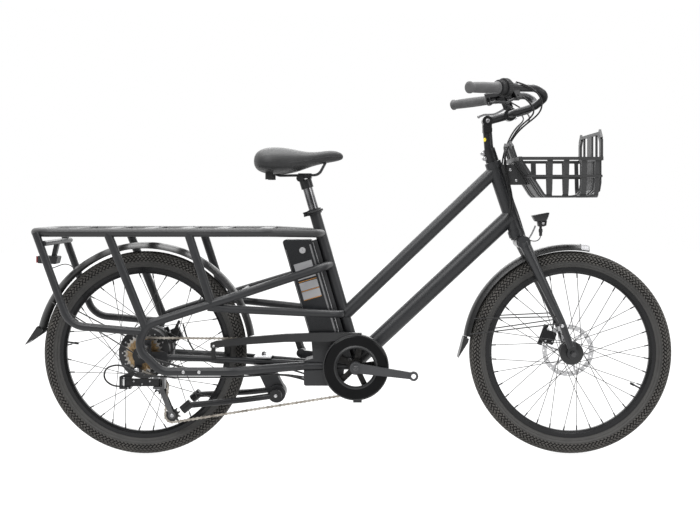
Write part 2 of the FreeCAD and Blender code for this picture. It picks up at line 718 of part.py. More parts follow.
def belt_point(pieces, distance):
    """The point at a distance along the chain's loop."""
    for kind, data, length in pieces:
        if distance <= length:
            break
        distance -= length
    if kind == "line":
        return data[0] + (data[1] - data[0]) * (distance / length)
    centre, radius, angle, turn = data
    angle -= turn * distance / radius
    return centre + Vector(math.cos(angle), 0, math.sin(angle)) * radius


def tension_place(cage_angle):
    return GUIDE + Vector(math.cos(cage_angle), 0, math.sin(cage_angle)) * CAGE_LENGTH


def loop_length(cage_angle):
    return sum(length for _, _, length in belt(tension_place(cage_angle)))


def solve_cage_angle():
    """Swing the cage until the chain's loop is a whole, even number of pitches."""
    first = math.radians(-68)
    links = 2 * round(loop_length(first) / PITCH / 2)
    low, high = first - 0.5, first + 0.5
    rising = loop_length(high) > loop_length(low)
    for _ in range(60):
        middle = (low + high) / 2
        if (loop_length(middle) > links * PITCH) == rising:
            high = middle
        else:
            low = middle
    return (low + high) / 2, links


CAGE_ANGLE, LINK_COUNT = solve_cage_angle()
TENSION = tension_place(CAGE_ANGLE)
CHAIN_LOOP = belt(TENSION)


def chain_pins():
    return [belt_point(CHAIN_LOOP, index * PITCH) for index in range(LINK_COUNT)]


def seat_phase(centre, pins, teeth):
    """The angle of a roller seat, from the pin that lies deepest on this sprocket."""
    radius = teeth * PITCH / (2 * math.pi)
    on_circle = [p for p in pins if abs((lift(p, y=0) - lift(centre, y=0)).Length - radius) < 0.02]
    offset = on_circle[len(on_circle) // 2] - centre
    return math.atan2(offset.z, offset.x)


def link_shape(start, end, inner):
    """One chain link: two side plates, and rollers or pins at both ends."""
    along = end - start
    thick = 1.0
    gap = 2.4 if inner else 4.6
    members = []
    for side in (-1, 1):
        y = side * (gap / 2 + thick / 2)
        plate = Part.makeBox(along.Length, 5.2, thick, Vector(0, -2.6, y - thick / 2))
        ends = [Part.makeCylinder(4, thick, Vector(x, 0, y - thick / 2)) for x in (0, along.Length)]
        members += [plate] + ends
    barrel = 3.7 if inner else 1.75
    height = gap + 2 * thick if not inner else gap
    for x in (0, along.Length):
        members.append(Part.makeCylinder(barrel, height, Vector(x, 0, -height / 2)))
    shape = members[0].fuse(members[1:])
    if inner:
        for x in (0, along.Length):
            shape = shape.cut(Part.makeCylinder(1.8, 8, Vector(x, 0, -4)))
    return shape.removeSplitter()


def make_chain():
    """Inner and outer links by turns, each a separate solid."""
    pins = chain_pins()
    templates = {}
    links = []
    for index, start in enumerate(pins):
        end = pins[(index + 1) % len(pins)]
        inner = index % 2 == 0
        span = round((end - start).Length, 2)
        if (inner, span) not in templates:
            templates[inner, span] = link_shape(Vector(), Vector(span, 0, 0), inner)
        link = templates[inner, span].copy()
        angle = math.degrees(math.atan2(end.z - start.z, end.x - start.x))
        link.Placement = Placement(start, Rotation(Y_AXIS, -angle) * Rotation(X_AXIS, 90))
        links.append(link)
    keep(feature("chain", Part.makeCompound(links)), "chain")
    return pins


def crank_direction():
    angle = math.radians(dim("crank_angle"))
    return Vector(math.cos(angle), 0, math.sin(angle))


def make_drive():
    """Chain, freewheel, chainring, cranks, left pedal and chain guard."""
    pins = make_chain()
    rear_teeth = int(dim("rear_teeth"))
    cluster = []
    for index, teeth in enumerate((28, 24, 22, 20, 18, 16, 14)):
        y = CHAIN_Y + dim("sprocket_pitch") * (1 - index)
        centre = Vector(REAR_AXLE.x, y, REAR_AXLE.z)
        phase = seat_phase(lift(centre, y=CHAIN_Y), pins, rear_teeth) if teeth == rear_teeth else index
        cluster.append(sprocket(teeth, phase, 2, 19, centre))
    core = Part.makeCylinder(21, 34, lift(REAR_AXLE, y=-72), Y_AXIS)
    core = core.cut(Part.makeCylinder(17 + dim("running_clearance"), 40, lift(REAR_AXLE, y=-75), Y_AXIS))
    keep(feature("freewheel", core.fuse(cluster).removeSplitter()), "freewheel")

    ring_centre = Vector(BRACKET.x, CHAIN_Y, BRACKET.z)
    ring_teeth = int(dim("chainring_teeth"))
    ring = sprocket(ring_teeth, seat_phase(ring_centre, pins, ring_teeth), 2, 66, ring_centre)
    spider = [Part.makeCylinder(24, 15, lift(ring_centre, y=CHAIN_Y - 14), Y_AXIS)]
    for index in range(5):
        arm = Part.makeBox(58, 6, 17, Vector(14, -3, -8.5))
        arm.rotate(Vector(), Y_AXIS, 72 * index + dim("crank_angle"))
        arm.translate(lift(ring_centre, y=CHAIN_Y - 4))
        spider.append(arm)
    hole = Part.makeCylinder(dim("spindle_radius"), 40, lift(ring_centre, y=CHAIN_Y - 20), Y_AXIS)
    keep(feature("chainring", ring.fuse(spider).cut(hole).removeSplitter()), "chainring")

    forward = crank_direction()
    arms = []
    for side in (-1, 1):
        tip = BRACKET + forward * (-side * dim("crank_length"))
        arms.append(crank_arm(side, forward * -side, tip))
    spindle = rod("spindle", lift(BRACKET, y=-70), lift(BRACKET, y=70), "dims.spindle_radius")
    pedal_place = BRACKET - forward * dim("crank_length")
    pedal_axle = fuse("pedal_axle",
                      rod("pedal_axle_thread", lift(pedal_place, y=78), lift(pedal_place, y=95), "7"),
                      rod("pedal_axle_flange", lift(pedal_place, y=95.2), lift(pedal_place, y=100), "8.5"),
                      rod("pedal_axle_shaft", lift(pedal_place, y=93), lift(pedal_place, y=176), "4.5"))
    keep(group("crank_arms", *arms, spindle, pedal_axle), "crank_arms")
    make_pedal(pedal_place)
    make_guard()


def crank_arm(side, direction, tip):
    """A forged arm: padded outline, swelling at both ends, with its spindle and pedal holes."""
    name = "crank_right" if side < 0 else "crank_left"
    inner, outer = side * 60, side * 91
    boss = rod(name + "_boss", lift(BRACKET, y=inner), lift(BRACKET, y=outer), "18")
    end_boss = rod(name + "_end", lift(tip, y=side * 79), lift(tip, y=side * 93), "14")
    length = dim("crank_length")
    profile = outline([(0, -15), (length, -10), (length, 10), (0, 15)])
    web = padded_body(name + "_web", "XZ_Plane", profile, "12")
    angle = math.degrees(math.atan2(direction.z, direction.x))
    web.Placement = Placement(lift(BRACKET, y=side * 84.5), Rotation(Y_AXIS, -angle))
    socket = rod(name + "_hole", lift(BRACKET, y=side * 50), lift(BRACKET, y=side * 70),
                 "dims.spindle_radius")
    thread = rod(name + "_thread", lift(tip, y=side * 60), lift(tip, y=side * 110),
                 "dims.pedal_hole_radius")
    bolt = rod(name + "_bolt", lift(BRACKET, y=outer), lift(BRACKET, y=side * 95), "11")
    blank = fuse(name + "_blank", boss, end_boss, web, bolt)
    return cut(name, blank, socket, thread)


def make_pedal(place):
    """The left pedal: a body round its axle, two side plates and reflectors."""
    reach = 104
    length = 82
    core = Part.makeCylinder(10, length, lift(place, y=reach), Y_AXIS)
    members = []
    for side in (-1, 1):
        members.append(Part.makeBox(8, length - 14, 24, lift(place, y=reach, x=side * 42 - 4, z=-12)))
    for y in (reach, reach + length / 2 - 4, reach + length - 22):
        members.append(Part.makeBox(92, 8, 18, lift(place, y=y, x=-46, z=-9)))
    body = core.fuse(members)
    for side in (-1, 1):
        pocket = Part.makeBox(2.5, 40, 14, lift(place, y=reach + 14, x=side * 46 - 1.25, z=-7))
        body = body.cut(pocket)
    bore = Part.makeCylinder(4.5 + dim("running_clearance"), 82, lift(place, y=95), Y_AXIS)
    body = body.cut(bore).removeSplitter()
    reflectors = []
    for side in (-1, 1):
        x = side * 46 - (1.25 if side > 0 else 0)
        reflectors.append(Part.makeBox(1.25, 40, 14, lift(place, y=reach + 14, x=x, z=-7)))
    shape = Part.makeCompound([body] + reflectors)
    shape.rotate(place, Y_AXIS, 72)
    keep(feature("left_pedal", shape), "left_pedal")


def make_guard():
    """A fixed ring round the chainring and a long cover over the upper run of the chain."""
    centre = lift(BRACKET, y=-70)
    outer = dim("guard_radius")
    opening = dim("guard_opening_radius")
    profile = [
        (opening, 0), (opening + 4, -7), (opening + 9, -4), (outer - 8, -5), (outer - 1, -1), (outer, 6),
        (outer, 14), (outer - 2.5, 14), (outer - 2.5, 6), (outer - 9, -1.5), (opening + 9, -1),
        (opening + 5, -3), (opening + 2, 2), (opening, 2),
    ]
    ring = ring_solid(lines(profile + profile[:1]), centre)
    tab = Part.makeBox(26, 3, 9, Vector(BRACKET.x - 8, -70, BRACKET.z - outer - 6))
    top_edge = [(-416, 345), (-400, 350.5), (-300, 363), (-190, 372), (-80, 376), (40, 375)]
    low_edge = [(40, 344), (-60, 349), (-190, 348), (-300, 341), (-398, 331), (-416, 331)]
    face = cover_plate(top_edge + low_edge, -69, 2.5)
    lip = cover_plate(top_edge + [(x, z - 2.5) for x, z in reversed(top_edge)], -69, 18)
    disc = Part.makeCylinder(outer - 2.6, 40, Vector(BRACKET.x, -80, BRACKET.z), Y_AXIS)
    cover = face.fuse(lip).cut(disc)
    strap = Part.makeBox(13, 2.5, 45, Vector(-413, -69, 298))
    foot = Part.makeBox(13, 14, 8, Vector(-413, -69, 298)).cut(inner_stay_solid(-1))
    shape = ring.fuse([largest(cover), tab, strap, largest(foot)]).cut(inner_stay_solid(-1))
    keep(feature("chain_guard", largest(shape.removeSplitter())), "chain_guard")


def cover_plate(points, y, depth):
    """A flat outline in the XZ plane given depth towards the left."""
    corners = [Vector(x, y, z) for x, z in points]
    return Part.Face(Part.makePolygon(corners + corners[:1])).extrude(Vector(0, depth, 0))


# ---------------------------------------------------------------- steering


def basis(x_direction, z_direction):
    """A rotation whose X is given and whose Z is as near as possible to z_direction."""
    return Rotation(x_direction, Vector(), z_direction, "XZY")


CROWN = Vector(527, 0, 648)
LEG_TOP_Y = 50
LEG_KNEE = Vector(643, 58, 409)
LEG_END = Vector(671, 60, 330)


def make_fork():
    """Steerer, crown and tapered legs as one weldment, and the bearings that it turns in."""
    steerer = rod("steerer", HEAD_BOTTOM - STEER_UP * 20, HEAD_TOP + STEER_UP * 42, "dims.steerer_radius")
    race = rod("crown_race", HEAD_BOTTOM - STEER_UP * 7, HEAD_BOTTOM - STEER_UP * 0.4,
               "dims.head_tube_radius")
    crown = rod("crown_bar", lift(CROWN, y=-LEG_TOP_Y), lift(CROWN, y=LEG_TOP_Y), "19")
    members = [steerer, race, crown]
    for side in (-1, 1):
        top = lift(CROWN, y=side * LEG_TOP_Y, x=3)
        knee = lift(LEG_KNEE, y=side * LEG_KNEE.y)
        end = lift(LEG_END, y=side * LEG_END.y)
        axle_inner = side * dim("front_dropout_inner")
        axle_outer = axle_inner + side * 6
        cap_ends = [lift(top, y=side * (LEG_TOP_Y + offset)) for offset in (-18, 15)]
        members += [
            cone(f"leg_{side}", top, knee, "dims.leg_top_radius", "dims.leg_end_radius"),
            rod(f"leg_cap_{side}", *cap_ends, "19"),
            rod(f"leg_foot_{side}", knee, end, "dims.leg_end_radius"),
            rod(f"fork_dropout_{side}", lift(FRONT_AXLE, y=axle_inner),
                lift(FRONT_AXLE, y=axle_outer), "17"),
            block(f"fork_neck_{side}", Vector(675, axle_inner + side * 3, 330), (24, 6, 34)),
        ]
    blank = fuse("fork_blank", *members)
    axle_hole = rod("fork_axle_hole", lift(FRONT_AXLE, y=-80), lift(FRONT_AXLE, y=80), "dims.axle_radius")
    steerer_bore = rod("fork_inner_bore", HEAD_BOTTOM - STEER_UP * 30, HEAD_TOP + STEER_UP * 50,
                       "dims.steerer_radius - 2")
    keep(cut("fork", blank, axle_hole, steerer_bore), "fork")

    rings = []
    for name, start in (("low", HEAD_BOTTOM), ("top", HEAD_TOP - STEER_UP * 9)):
        outer = rod(f"bearing_{name}", start, start + STEER_UP * 9, "dims.head_bore_radius")
        inner = rod(f"bearing_{name}_bore", start - STEER_UP, start + STEER_UP * 10,
                    "dims.steerer_radius + dims.running_clearance")
        rings.append(cut(f"bearing_{name}_ring", outer, inner))
    keep(group("headset_bearings", *rings), "headset_bearings")


FENDER_DROP = 17


def fender_shape(place, outer, half_width, first, last):
    """A curved mudguard between two angles, counted from +X towards +Z."""
    thick = 1.6
    drop = FENDER_DROP
    edges = [
        arc((outer - drop, half_width), (outer, 0), (outer - drop, -half_width)),
        lines([(outer - drop, -half_width), (outer - drop - thick, -half_width)])[0],
        arc((outer - drop - thick, -half_width), (outer - thick, 0), (outer - drop - thick, half_width)),
        lines([(outer - drop - thick, half_width), (outer - drop, half_width)])[0],
    ]
    face = Part.Face(Part.Wire(edges))
    face.rotate(Vector(), Y_AXIS, -first)
    shape = face.revolve(Vector(), Y_AXIS, first - last)
    shape.translate(place)
    return shape


def rod_shape(start, end, radius):
    along = end - start
    return Part.makeCylinder(radius, along.Length, start, along)


def flap_shape(top, bottom, half_width, depth):
    """A rubber flap that narrows to its tip, with a web on each side of its flat face."""
    along = (bottom - top).normalize()
    towards_wheel = Vector(-along.z, 0, along.x)
    corners = [top, bottom, top + along * 12 + towards_wheel * depth, top + towards_wheel * depth]
    block_shape = cover_plate([(p.x, p.z) for p in corners], -half_width, 2 * half_width)
    hollow = cover_plate([(p.x, p.z) for p in corners], 1.8 - half_width, 2 * half_width - 3.6)
    hollow.translate(towards_wheel * 2.2)
    return largest(block_shape.cut(hollow))


def fender_edge(axle, outer, turn, y):
    """A point on a fender's side edge; turn is in degrees from +X towards +Z."""
    reach = outer - FENDER_DROP + 1
    return axle + Vector(reach * math.cos(math.radians(turn)), y, reach * math.sin(math.radians(turn)))


def make_fenders():
    front = fender_shape(FRONT_AXLE, 331, 30, 80, 171)
    mount = rod_shape(Vector(530, 0, 630), Vector(538, 0, 606), 6).cut(front)
    mount = largest(mount.cut(doc.getObject("fork").Shape))
    front_flap = flap_shape(Vector(350, 0, 358), Vector(333, 0, 294), 29, 17)
    front_parts = [front, mount, largest(front_flap.cut(front))]
    for side in (-1, 1):
        for start, turn in ((Vector(629, 62, 424), 160.5), (Vector(644, 62, 404), 169.5)):
            end = fender_edge(FRONT_AXLE, 331, turn, side * 30.8)
            stay = rod_shape(lift(start, y=side * start.y), end, 1.8)
            front_parts.append(largest(stay.cut(doc.getObject("fork").Shape).cut(front)))
    keep(feature("front_fender", Part.makeCompound(front_parts)), "front_fender")

    rear = fender_shape(REAR_AXLE, 337, 33, 9, 167)
    rear_flap = flap_shape(Vector(-948, 0, 391), Vector(-985, 0, 335), 32, 22)
    rear_parts = [rear, largest(rear_flap.cut(rear))]
    for side in (-1, 1):
        stay = rod_shape(fender_edge(REAR_AXLE, 337, 151, side * 34), Vector(-644, side * 86, 318), 2)
        rear_parts.append(largest(stay.cut(rear).cut(doc.getObject("frame_bridges").Shape)))
    keep(feature("rear_fender", Part.makeCompound(rear_parts)), "rear_fender")


PIVOT = Vector(424, 0, 1017)
BAR_CLAMP = Vector(493, 0, 1036)
BAR_SIDE = [Vector(493, -50, 1036), Vector(560, -77, 1056), Vector(592, -112, 1085),
            Vector(556, -125, 1107), Vector(342, -318, 1092)]


def along_bar(distance, side=-1):
    """A point on the bar's straight run, measured from its end; side is -1 on the right."""
    inward = (BAR_SIDE[3] - BAR_SIDE[4]).normalize()
    point = BAR_SIDE[4] + inward * distance
    return lift(point, y=-side * point.y)


def bar_inward(side=-1):
    inward = (BAR_SIDE[3] - BAR_SIDE[4]).normalize()
    return lift(inward, y=-side * inward.y)


def lever_offset(side):
    """The direction from the bar towards the brake lever."""
    inward = bar_inward(side)
    level = Vector(inward.y, -inward.x, 0) * (-side)
    return (level.normalize() * 0.5 + Vector(0, 0, -0.866)).normalize()


LEVER_PLACE = {-1: 184, 1: 210}


def lever_pivot(side):
    return along_bar(LEVER_PLACE[side], side) + lever_offset(side) * 30


def make_bars():
    """Stem, handlebar with its lever brackets, grips, twist shifter, levers and display."""
    clamp = rod("stem_clamp", HEAD_TOP + STEER_UP * 0.5, HEAD_TOP + STEER_UP * 42, "20")
    riser = rod("stem_riser", HEAD_TOP + STEER_UP * 34, Vector(424, 0, 997), "14")
    members = [clamp, riser]
    for side in (-1, 1):
        members.append(block(f"stem_cheek_{side}", Vector(424, side * 16, 1000), (26, 6, 36)))
        members.append(rod(f"stem_eye_{side}", lift(PIVOT, y=side * 13), lift(PIVOT, y=side * 19), "16"))
        members.append(rod(f"stem_bolt_head_{side}", lift(PIVOT, y=side * 19), lift(PIVOT, y=side * 24), "8"))
    members.append(block("stem_yoke", Vector(425, 0, 990), (26, 38, 12)))
    members.append(rod("stem_bolt", lift(PIVOT, y=-20), lift(PIVOT, y=20), "4"))
    steerer_hole = rod("stem_hole", HEAD_TOP - STEER_UP * 5, HEAD_TOP + STEER_UP * 42, "dims.steerer_radius")
    keep(cut("stem_quill", fuse("stem_quill_blank", *members), steerer_hole), "stem_quill")

    tongue = rod("stem_tongue", lift(PIVOT, y=-12.7), lift(PIVOT, y=12.7), "16")
    neck = rod("stem_neck", PIVOT, BAR_CLAMP, "12.5")
    jaw = rod("stem_jaw", lift(BAR_CLAMP, y=-19), lift(BAR_CLAMP, y=19), "19")
    pivot_bore = rod("stem_pivot_bore", lift(PIVOT, y=-30), lift(PIVOT, y=30), "4 + dims.running_clearance")
    bar_hole = rod("stem_bar_hole", lift(BAR_CLAMP, y=-30), lift(BAR_CLAMP, y=30), "dims.bar_radius")
    keep(cut("stem_arm", fuse("stem_arm_blank", tongue, neck, jaw), pivot_bore, bar_hole), "stem_arm")

    radius = dim("bar_radius")
    bar_path = list(reversed(BAR_SIDE)) + mirrored(BAR_SIDE)
    bar = sweep(bar_path, radius, 42)
    bar = bar.cut(sweep(bar_path, radius - 2, 42))
    fittings = [largest(bar)]
    for side in (-1, 1):
        fittings.append(lever_bracket(side))
    housing = rod_shape(along_bar(160.5), along_bar(171), 21)
    fittings.append(housing.cut(rod_shape(along_bar(150), along_bar(180), radius)))
    keep(feature("handlebar", Part.makeCompound(fittings)), "handlebar")

    grips = []
    for side, length in ((-1, 121), (1, 150)):
        grip = rod_shape(along_bar(-3, side), along_bar(length, side), dim("grip_radius"))
        flange = rod_shape(along_bar(length - 4, side), along_bar(length, side), dim("grip_radius") + 3)
        core = rod_shape(along_bar(0, side), along_bar(length + 1, side), radius)
        grips.append(grip.fuse(flange).cut(core).removeSplitter())
    keep(feature("grips", Part.makeCompound(grips)), "grips")

    twist = rod_shape(along_bar(122), along_bar(160), dim("shifter_radius") - 5)
    twist = twist.fuse(rod_shape(along_bar(142), along_bar(160), dim("shifter_radius")))
    twist = twist.cut(rod_shape(along_bar(110), along_bar(170), radius + dim("running_clearance")))
    keep(feature("twist_shifter", twist.removeSplitter()), "twist_shifter")

    for side, name in ((-1, "brake_lever_right"), (1, "brake_lever_left")):
        keep(feature(name, lever_shape(side)), name)
    make_display()


def lever_bracket(side):
    """A clamp round the bar with two cheeks that hold the lever's pin."""
    place = LEVER_PLACE[side]
    inward = bar_inward(side)
    offset = lever_offset(side)
    axis = inward.cross(offset)
    pivot = lever_pivot(side)
    ring = rod_shape(along_bar(place - 11, side), along_bar(place + 11, side), 16)
    arm = Part.makeBox(26, 18, 34, Vector(-13, -9, 4))
    arm.Placement = Placement(along_bar(place, side), basis(inward, offset))
    shape = ring.fuse(arm.copy())
    slot = Part.makeBox(60, 9, 40, Vector(-44, -4.5, 19))
    slot.Placement = Placement(along_bar(place, side), basis(inward, offset))
    shape = shape.cut(slot)
    shape = shape.cut(rod_shape(along_bar(place - 30, side), along_bar(place + 30, side), dim("bar_radius")))
    pin = rod_shape(pivot - axis * 11, pivot + axis * 11, 2.5)
    return shape.fuse(pin).removeSplitter()


def lever_shape(side):
    """A brake lever: an eye on its pin and a curved blade along the grip."""
    inward = bar_inward(side)
    offset = lever_offset(side)
    axis = inward.cross(offset)
    pivot = lever_pivot(side)
    eye = rod_shape(pivot - axis * 3.9, pivot + axis * 3.9, 6.5)
    path = [pivot, pivot - inward * 26 + offset * 12, pivot - inward * 60 + offset * 22,
            pivot - inward * 100 + offset * 19, pivot - inward * 124 + offset * 24]
    blade = sweep(path, 3.9, 30)
    tip = Part.makeSphere(5.5, path[-1])
    shape = eye.fuse([blade, tip])
    pin_hole = rod_shape(pivot - axis * 20, pivot + axis * 20, 2.5 + dim("running_clearance"))
    return shape.cut(pin_hole).removeSplitter()


DISPLAY_PLACE = 178


def display_frame():
    """The display's corner placement: X along the bar, Z out of its screen."""
    inward = bar_inward(1)
    out = Vector(-0.45, -0.25, 0.86)
    turn = basis(inward, out)
    return Placement(along_bar(DISPLAY_PLACE, 1) + turn.multVec(Vector(0, 0, 24)), turn)


def make_display():
    """A small screen with three push buttons beside it, clamped to the left of the bar."""
    frame = display_frame()
    case = Part.makeBox(52, 44, 13, Vector(-26, -22, -6.5))
    case = case.makeFillet(3, [e for e in case.Edges if abs(e.Length - 13) < 0.1])
    screen_pocket = Part.makeBox(29, 36, 1.5, Vector(-6, -18, 5))
    case = case.cut(screen_pocket)
    for index in range(3):
        case = case.cut(Part.makeCylinder(3.9, 5, Vector(-17, 12 - 12 * index, 2)))
    screen = Part.makeBox(29, 36, 1.5, Vector(-6, -18, 5))
    case.Placement = frame
    screen.Placement = frame
    ring = rod_shape(along_bar(DISPLAY_PLACE - 7, 1), along_bar(DISPLAY_PLACE + 7, 1), 15)
    neck = Part.makeBox(12, 14, 16, Vector(-6, -7, -20))
    neck.Placement = frame
    body = case.fuse([ring, neck])
    body = body.cut(rod_shape(along_bar(150, 1), along_bar(200, 1), dim("bar_radius")))
    keep(feature("display", Part.makeCompound([body.removeSplitter(), screen])), "display")
    for index, name in enumerate(("button_up", "button_power", "button_down")):
        button = Part.makeCylinder(3.7, 4.6, Vector(-17, 12 - 12 * index, 3.6))
        button.Placement = frame
        keep(feature(name, button), name)


# ---------------------------------------------------------------- seat, battery and stand


def rounded_section(x, low, high, half_width):
    """A closed curve across the saddle, flat underneath and crowned on top."""
    middle = (low + high) / 2
    points = []
    for index in range(16):
        angle = 2 * math.pi * index / 16
        y = half_width * math.copysign(abs(math.cos(angle)) ** 0.75, math.cos(angle))
        z = middle + (high - low) / 2 * math.copysign(abs(math.sin(angle)) ** 0.75, math.sin(angle))
        points.append(Vector(x, y, z))
    curve = Part.BSplineCurve()
    curve.interpolate(Points=points, PeriodicFlag=True)
    return Part.Wire([curve.toShape()])


SADDLE_SECTIONS = [
    (-289, 884, 906, 52), (-272, 868, 931, 96), (-225, 855, 938, 116), (-170, 857, 932, 96),
    (-122, 876, 922, 54), (-75, 888, 927, 30), (-38, 893, 926, 20), (-17, 902, 914, 9),
]


def make_seat():
    """Seat post, saddle, rails with their clamp, and the quick-release lever."""
    bottom = SEAT_FOOT + SEAT_UP * 330
    top = SEAT_FOOT + SEAT_UP * 586
    post_outside = rod("post_outside", bottom, top, "dims.post_radius")
    post_inside = rod("post_inside", bottom - SEAT_UP, top - SEAT_UP * 20, "dims.post_radius - 2.2")
    keep(cut("seatpost", post_outside, post_inside), "seatpost")

    saddle = Part.makeLoft([rounded_section(*section) for section in SADDLE_SECTIONS], True, False)
    keep(feature("saddle", saddle), "saddle")
    doc.recompute()
    head = Vector(-134, 0, 850)
    rails = []
    for side in (-1, 1):
        rail_path = [Vector(-262, side * 34, 884), Vector(-218, side * 22, 850),
                     Vector(-92, side * 22, 852), Vector(-66, side * 8, 900)]
        rails.append(sweep(rail_path, 3.5, 26))
    yoke = Part.makeBox(40, 56, 15, head + Vector(-20, -28, -8))
    cup = rod_shape(SEAT_FOOT + SEAT_UP * 562, SEAT_FOOT + SEAT_UP * 590, 19)
    knobs = []
    for side in (-1, 1):
        knobs.append(rod_shape(head + Vector(-14, side * 28, -8), head + Vector(-14, side * 36, -8), 11))
    clamp = cup.fuse([yoke] + knobs).cut(doc.getObject("seatpost").Shape)
    clamp = largest(clamp.cut(rod_shape(bottom, top, dim("post_radius"))))
    for rail in rails:
        clamp = clamp.cut(rail)
    under = [largest(rail.cut(saddle)) for rail in rails]
    for side in (-1, 1):
        spring = rod_shape(Vector(-240, side * 50, 838), Vector(-240, side * 50, 880), 12)
        under.append(largest(spring.cut(saddle)))
    keep(feature("saddle_rails", Part.makeCompound([largest(clamp)] + under)), "saddle_rails")

    make_seat_lever()


def make_seat_lever():
    """The quick-release lever: two cams on the skewer's hinge and a blade beside the collar."""
    towards_blade = (SEAT_BACK * -14 + Vector(0, -11, 0)).normalize()
    cams = []
    for side in (-1, 1):
        near = LEVER_HINGE + SEAT_UP * side * 3.2
        cams.append(rod(f"lever_cam_{side}", near, near + SEAT_UP * side * 3.6, "6.5"))
    root = LEVER_HINGE + towards_blade * 8.4
    root_post = rod("lever_root", root - SEAT_UP * 6.5, root + SEAT_UP * 6.5, "3.1")
    tip = LEVER_HINGE - SEAT_BACK * 56 + Vector(0, -13, 0)
    bend = LEVER_HINGE - SEAT_BACK * 20 + Vector(0, -14, 0)
    blade = feature("lever_blade", sweep([root, bend, tip], 3.5, 12))
    hole = rod("lever_hole", LEVER_HINGE - SEAT_UP * 10, LEVER_HINGE + SEAT_UP * 10,
               "1.8 + dims.running_clearance")
    blank = fuse("lever_blank", *cams, root_post, blade)
    keep(cut("seat_clamp_lever", blank, hole), "seat_clamp_lever")


def beside_seat(along, back, y=0):
    """A point beside the seat tube: distance up it, and distance behind it."""
    point = SEAT_FOOT + SEAT_UP * along + SEAT_BACK * back
    return Vector(point.x, y, point.z)


BATTERY_FRONT = 31
BATTERY_BASE = 112
LOCK = Vector(-140, 0, 623)


def make_battery(seat_outside, shell_solid):
    """The battery, its lock, and the dock with the controller under it."""
    back = BATTERY_FRONT + dim("battery_depth") + 4
    corners = [beside_seat(BATTERY_BASE, BATTERY_FRONT), beside_seat(BATTERY_BASE, back),
               beside_seat(BATTERY_BASE + 321, back), beside_seat(BATTERY_BASE + 296, BATTERY_FRONT)]
    profile = outline([(p.x, p.z) for p in corners])
    case = padded_body("battery_body", "XZ_Plane", profile, "dims.battery_width")
    round_edges(case, "battery_corners", 9, lambda edge: abs(edge.Length - dim("battery_width")) < 0.1)
    half = dim("battery_width") / 2
    well = rod("lock_well", lift(LOCK, y=-half - 2), lift(LOCK, y=-half + 14), "9.5")
    keep(cut("battery_case", case, well), "battery_case")
    barrel = rod("lock_barrel", lift(LOCK, y=-half - 2.5), lift(LOCK, y=-half + 13.5), "9.4")
    keyhole = block("lock_keyhole", lift(LOCK, y=-half - 2), (2, 5, 9))
    keep(cut("battery_lock", barrel, keyhole), "battery_lock")

    rail_corners = [beside_seat(*place) for place in ((70, 16), (70, 30.4), (404, 30.4), (404, 16))]
    rail = cover_plate([(p.x, p.z) for p in rail_corners], -24, 48)
    base_back = beside_seat(BATTERY_BASE - 0.8, back)
    base_front = beside_seat(BATTERY_BASE - 0.8, 14)
    box = cover_plate([(-136, 212), (-136, 288), (-108, 295), (base_back.x, base_back.z),
                       (base_front.x, base_front.z), (8, 300), (-12, 290), (-18, 212)], -40, 80)
    box = box.makeFillet(7, [e for e in box.Edges if abs(e.Length - 80) < 0.1 and e.BoundBox.ZMax < 290])
    dock = box.fuse(rail)
    for trim in (seat_outside.Shape, shell_solid.Shape, doc.getObject("lower_main_tube_outside").Shape):
        dock = dock.cut(trim)
    for side in (-1, 1):
        turn = list if side < 0 else mirrored
        dock = dock.cut(sweep(turn(LOOP_PATH), dim("loop_od") / 2 + 1.5, LOOP_BEND))
        dock = dock.cut(inner_stay_solid(side, 10))
        dock = dock.cut(sweep(turn(MID_STAY_PATH), dim("lower_rail_od") / 2 + 1.5, 120))
    keep(feature("battery_dock", largest(dock)), "battery_dock")


STAND_PIVOT = Vector(-219, 0, 187)


def stand_bracket_shape():
    """Two plates that clamp the inner chain stays, a column and the stand's bearing."""
    plates = [Part.makeBox(52, 112, 5, Vector(-286, -56, z)) for z in (297.6, 270)]
    bolt = rod_shape(Vector(-260, 0, 268), Vector(-260, 0, 311), 5)
    column = cover_plate([(-286, 271), (-234, 271), (-195, 200), (-219, 160), (-246, 187)], -22, 44)
    housing = rod_shape(lift(STAND_PIVOT, y=-36), lift(STAND_PIVOT, y=36), 27)
    bracket = plates[0].fuse([plates[1], bolt, column, housing])
    pin_hole = rod_shape(lift(STAND_PIVOT, y=-90), lift(STAND_PIVOT, y=90), 8 + dim("running_clearance"))
    bracket = bracket.cut(pin_hole)
    for side in (-1, 1):
        bracket = bracket.cut(inner_stay_solid(side))
    return bracket.removeSplitter()


def make_stand():
    """The double-leg stand, folded back."""
    pin = rod_shape(lift(STAND_PIVOT, y=-76), lift(STAND_PIVOT, y=76), 8)
    members = []
    for side in (-1, 1):
        hub = rod_shape(lift(STAND_PIVOT, y=side * 56), lift(STAND_PIVOT, y=side * 78), 18)
        foot = Vector(STAND_PIVOT.x - 262, side * 102, 163)
        leg_path = [lift(STAND_PIVOT, y=side * 67), Vector(-310, side * 74, 176), foot]
        leg = sweep(leg_path, dim("stand_leg_radius"), 200)
        shoe = rod_shape(foot + Vector(12, 0, 8), foot + Vector(-14, side * 2, -14), 13)
        members += [hub, leg, shoe]
    keep(feature("kickstand", pin.fuse(members).removeSplitter()), "kickstand")


# ---------------------------------------------------------------- derailleur and brakes

LINK_START = Vector(-662, -96, 231)
LINK_END = Vector(GUIDE.x, -96, 231)
KNUCKLE_SIZE = (34, 24, 7)
KNUCKLE_RISE = 11.6
KNUCKLE_DROP = 18.6


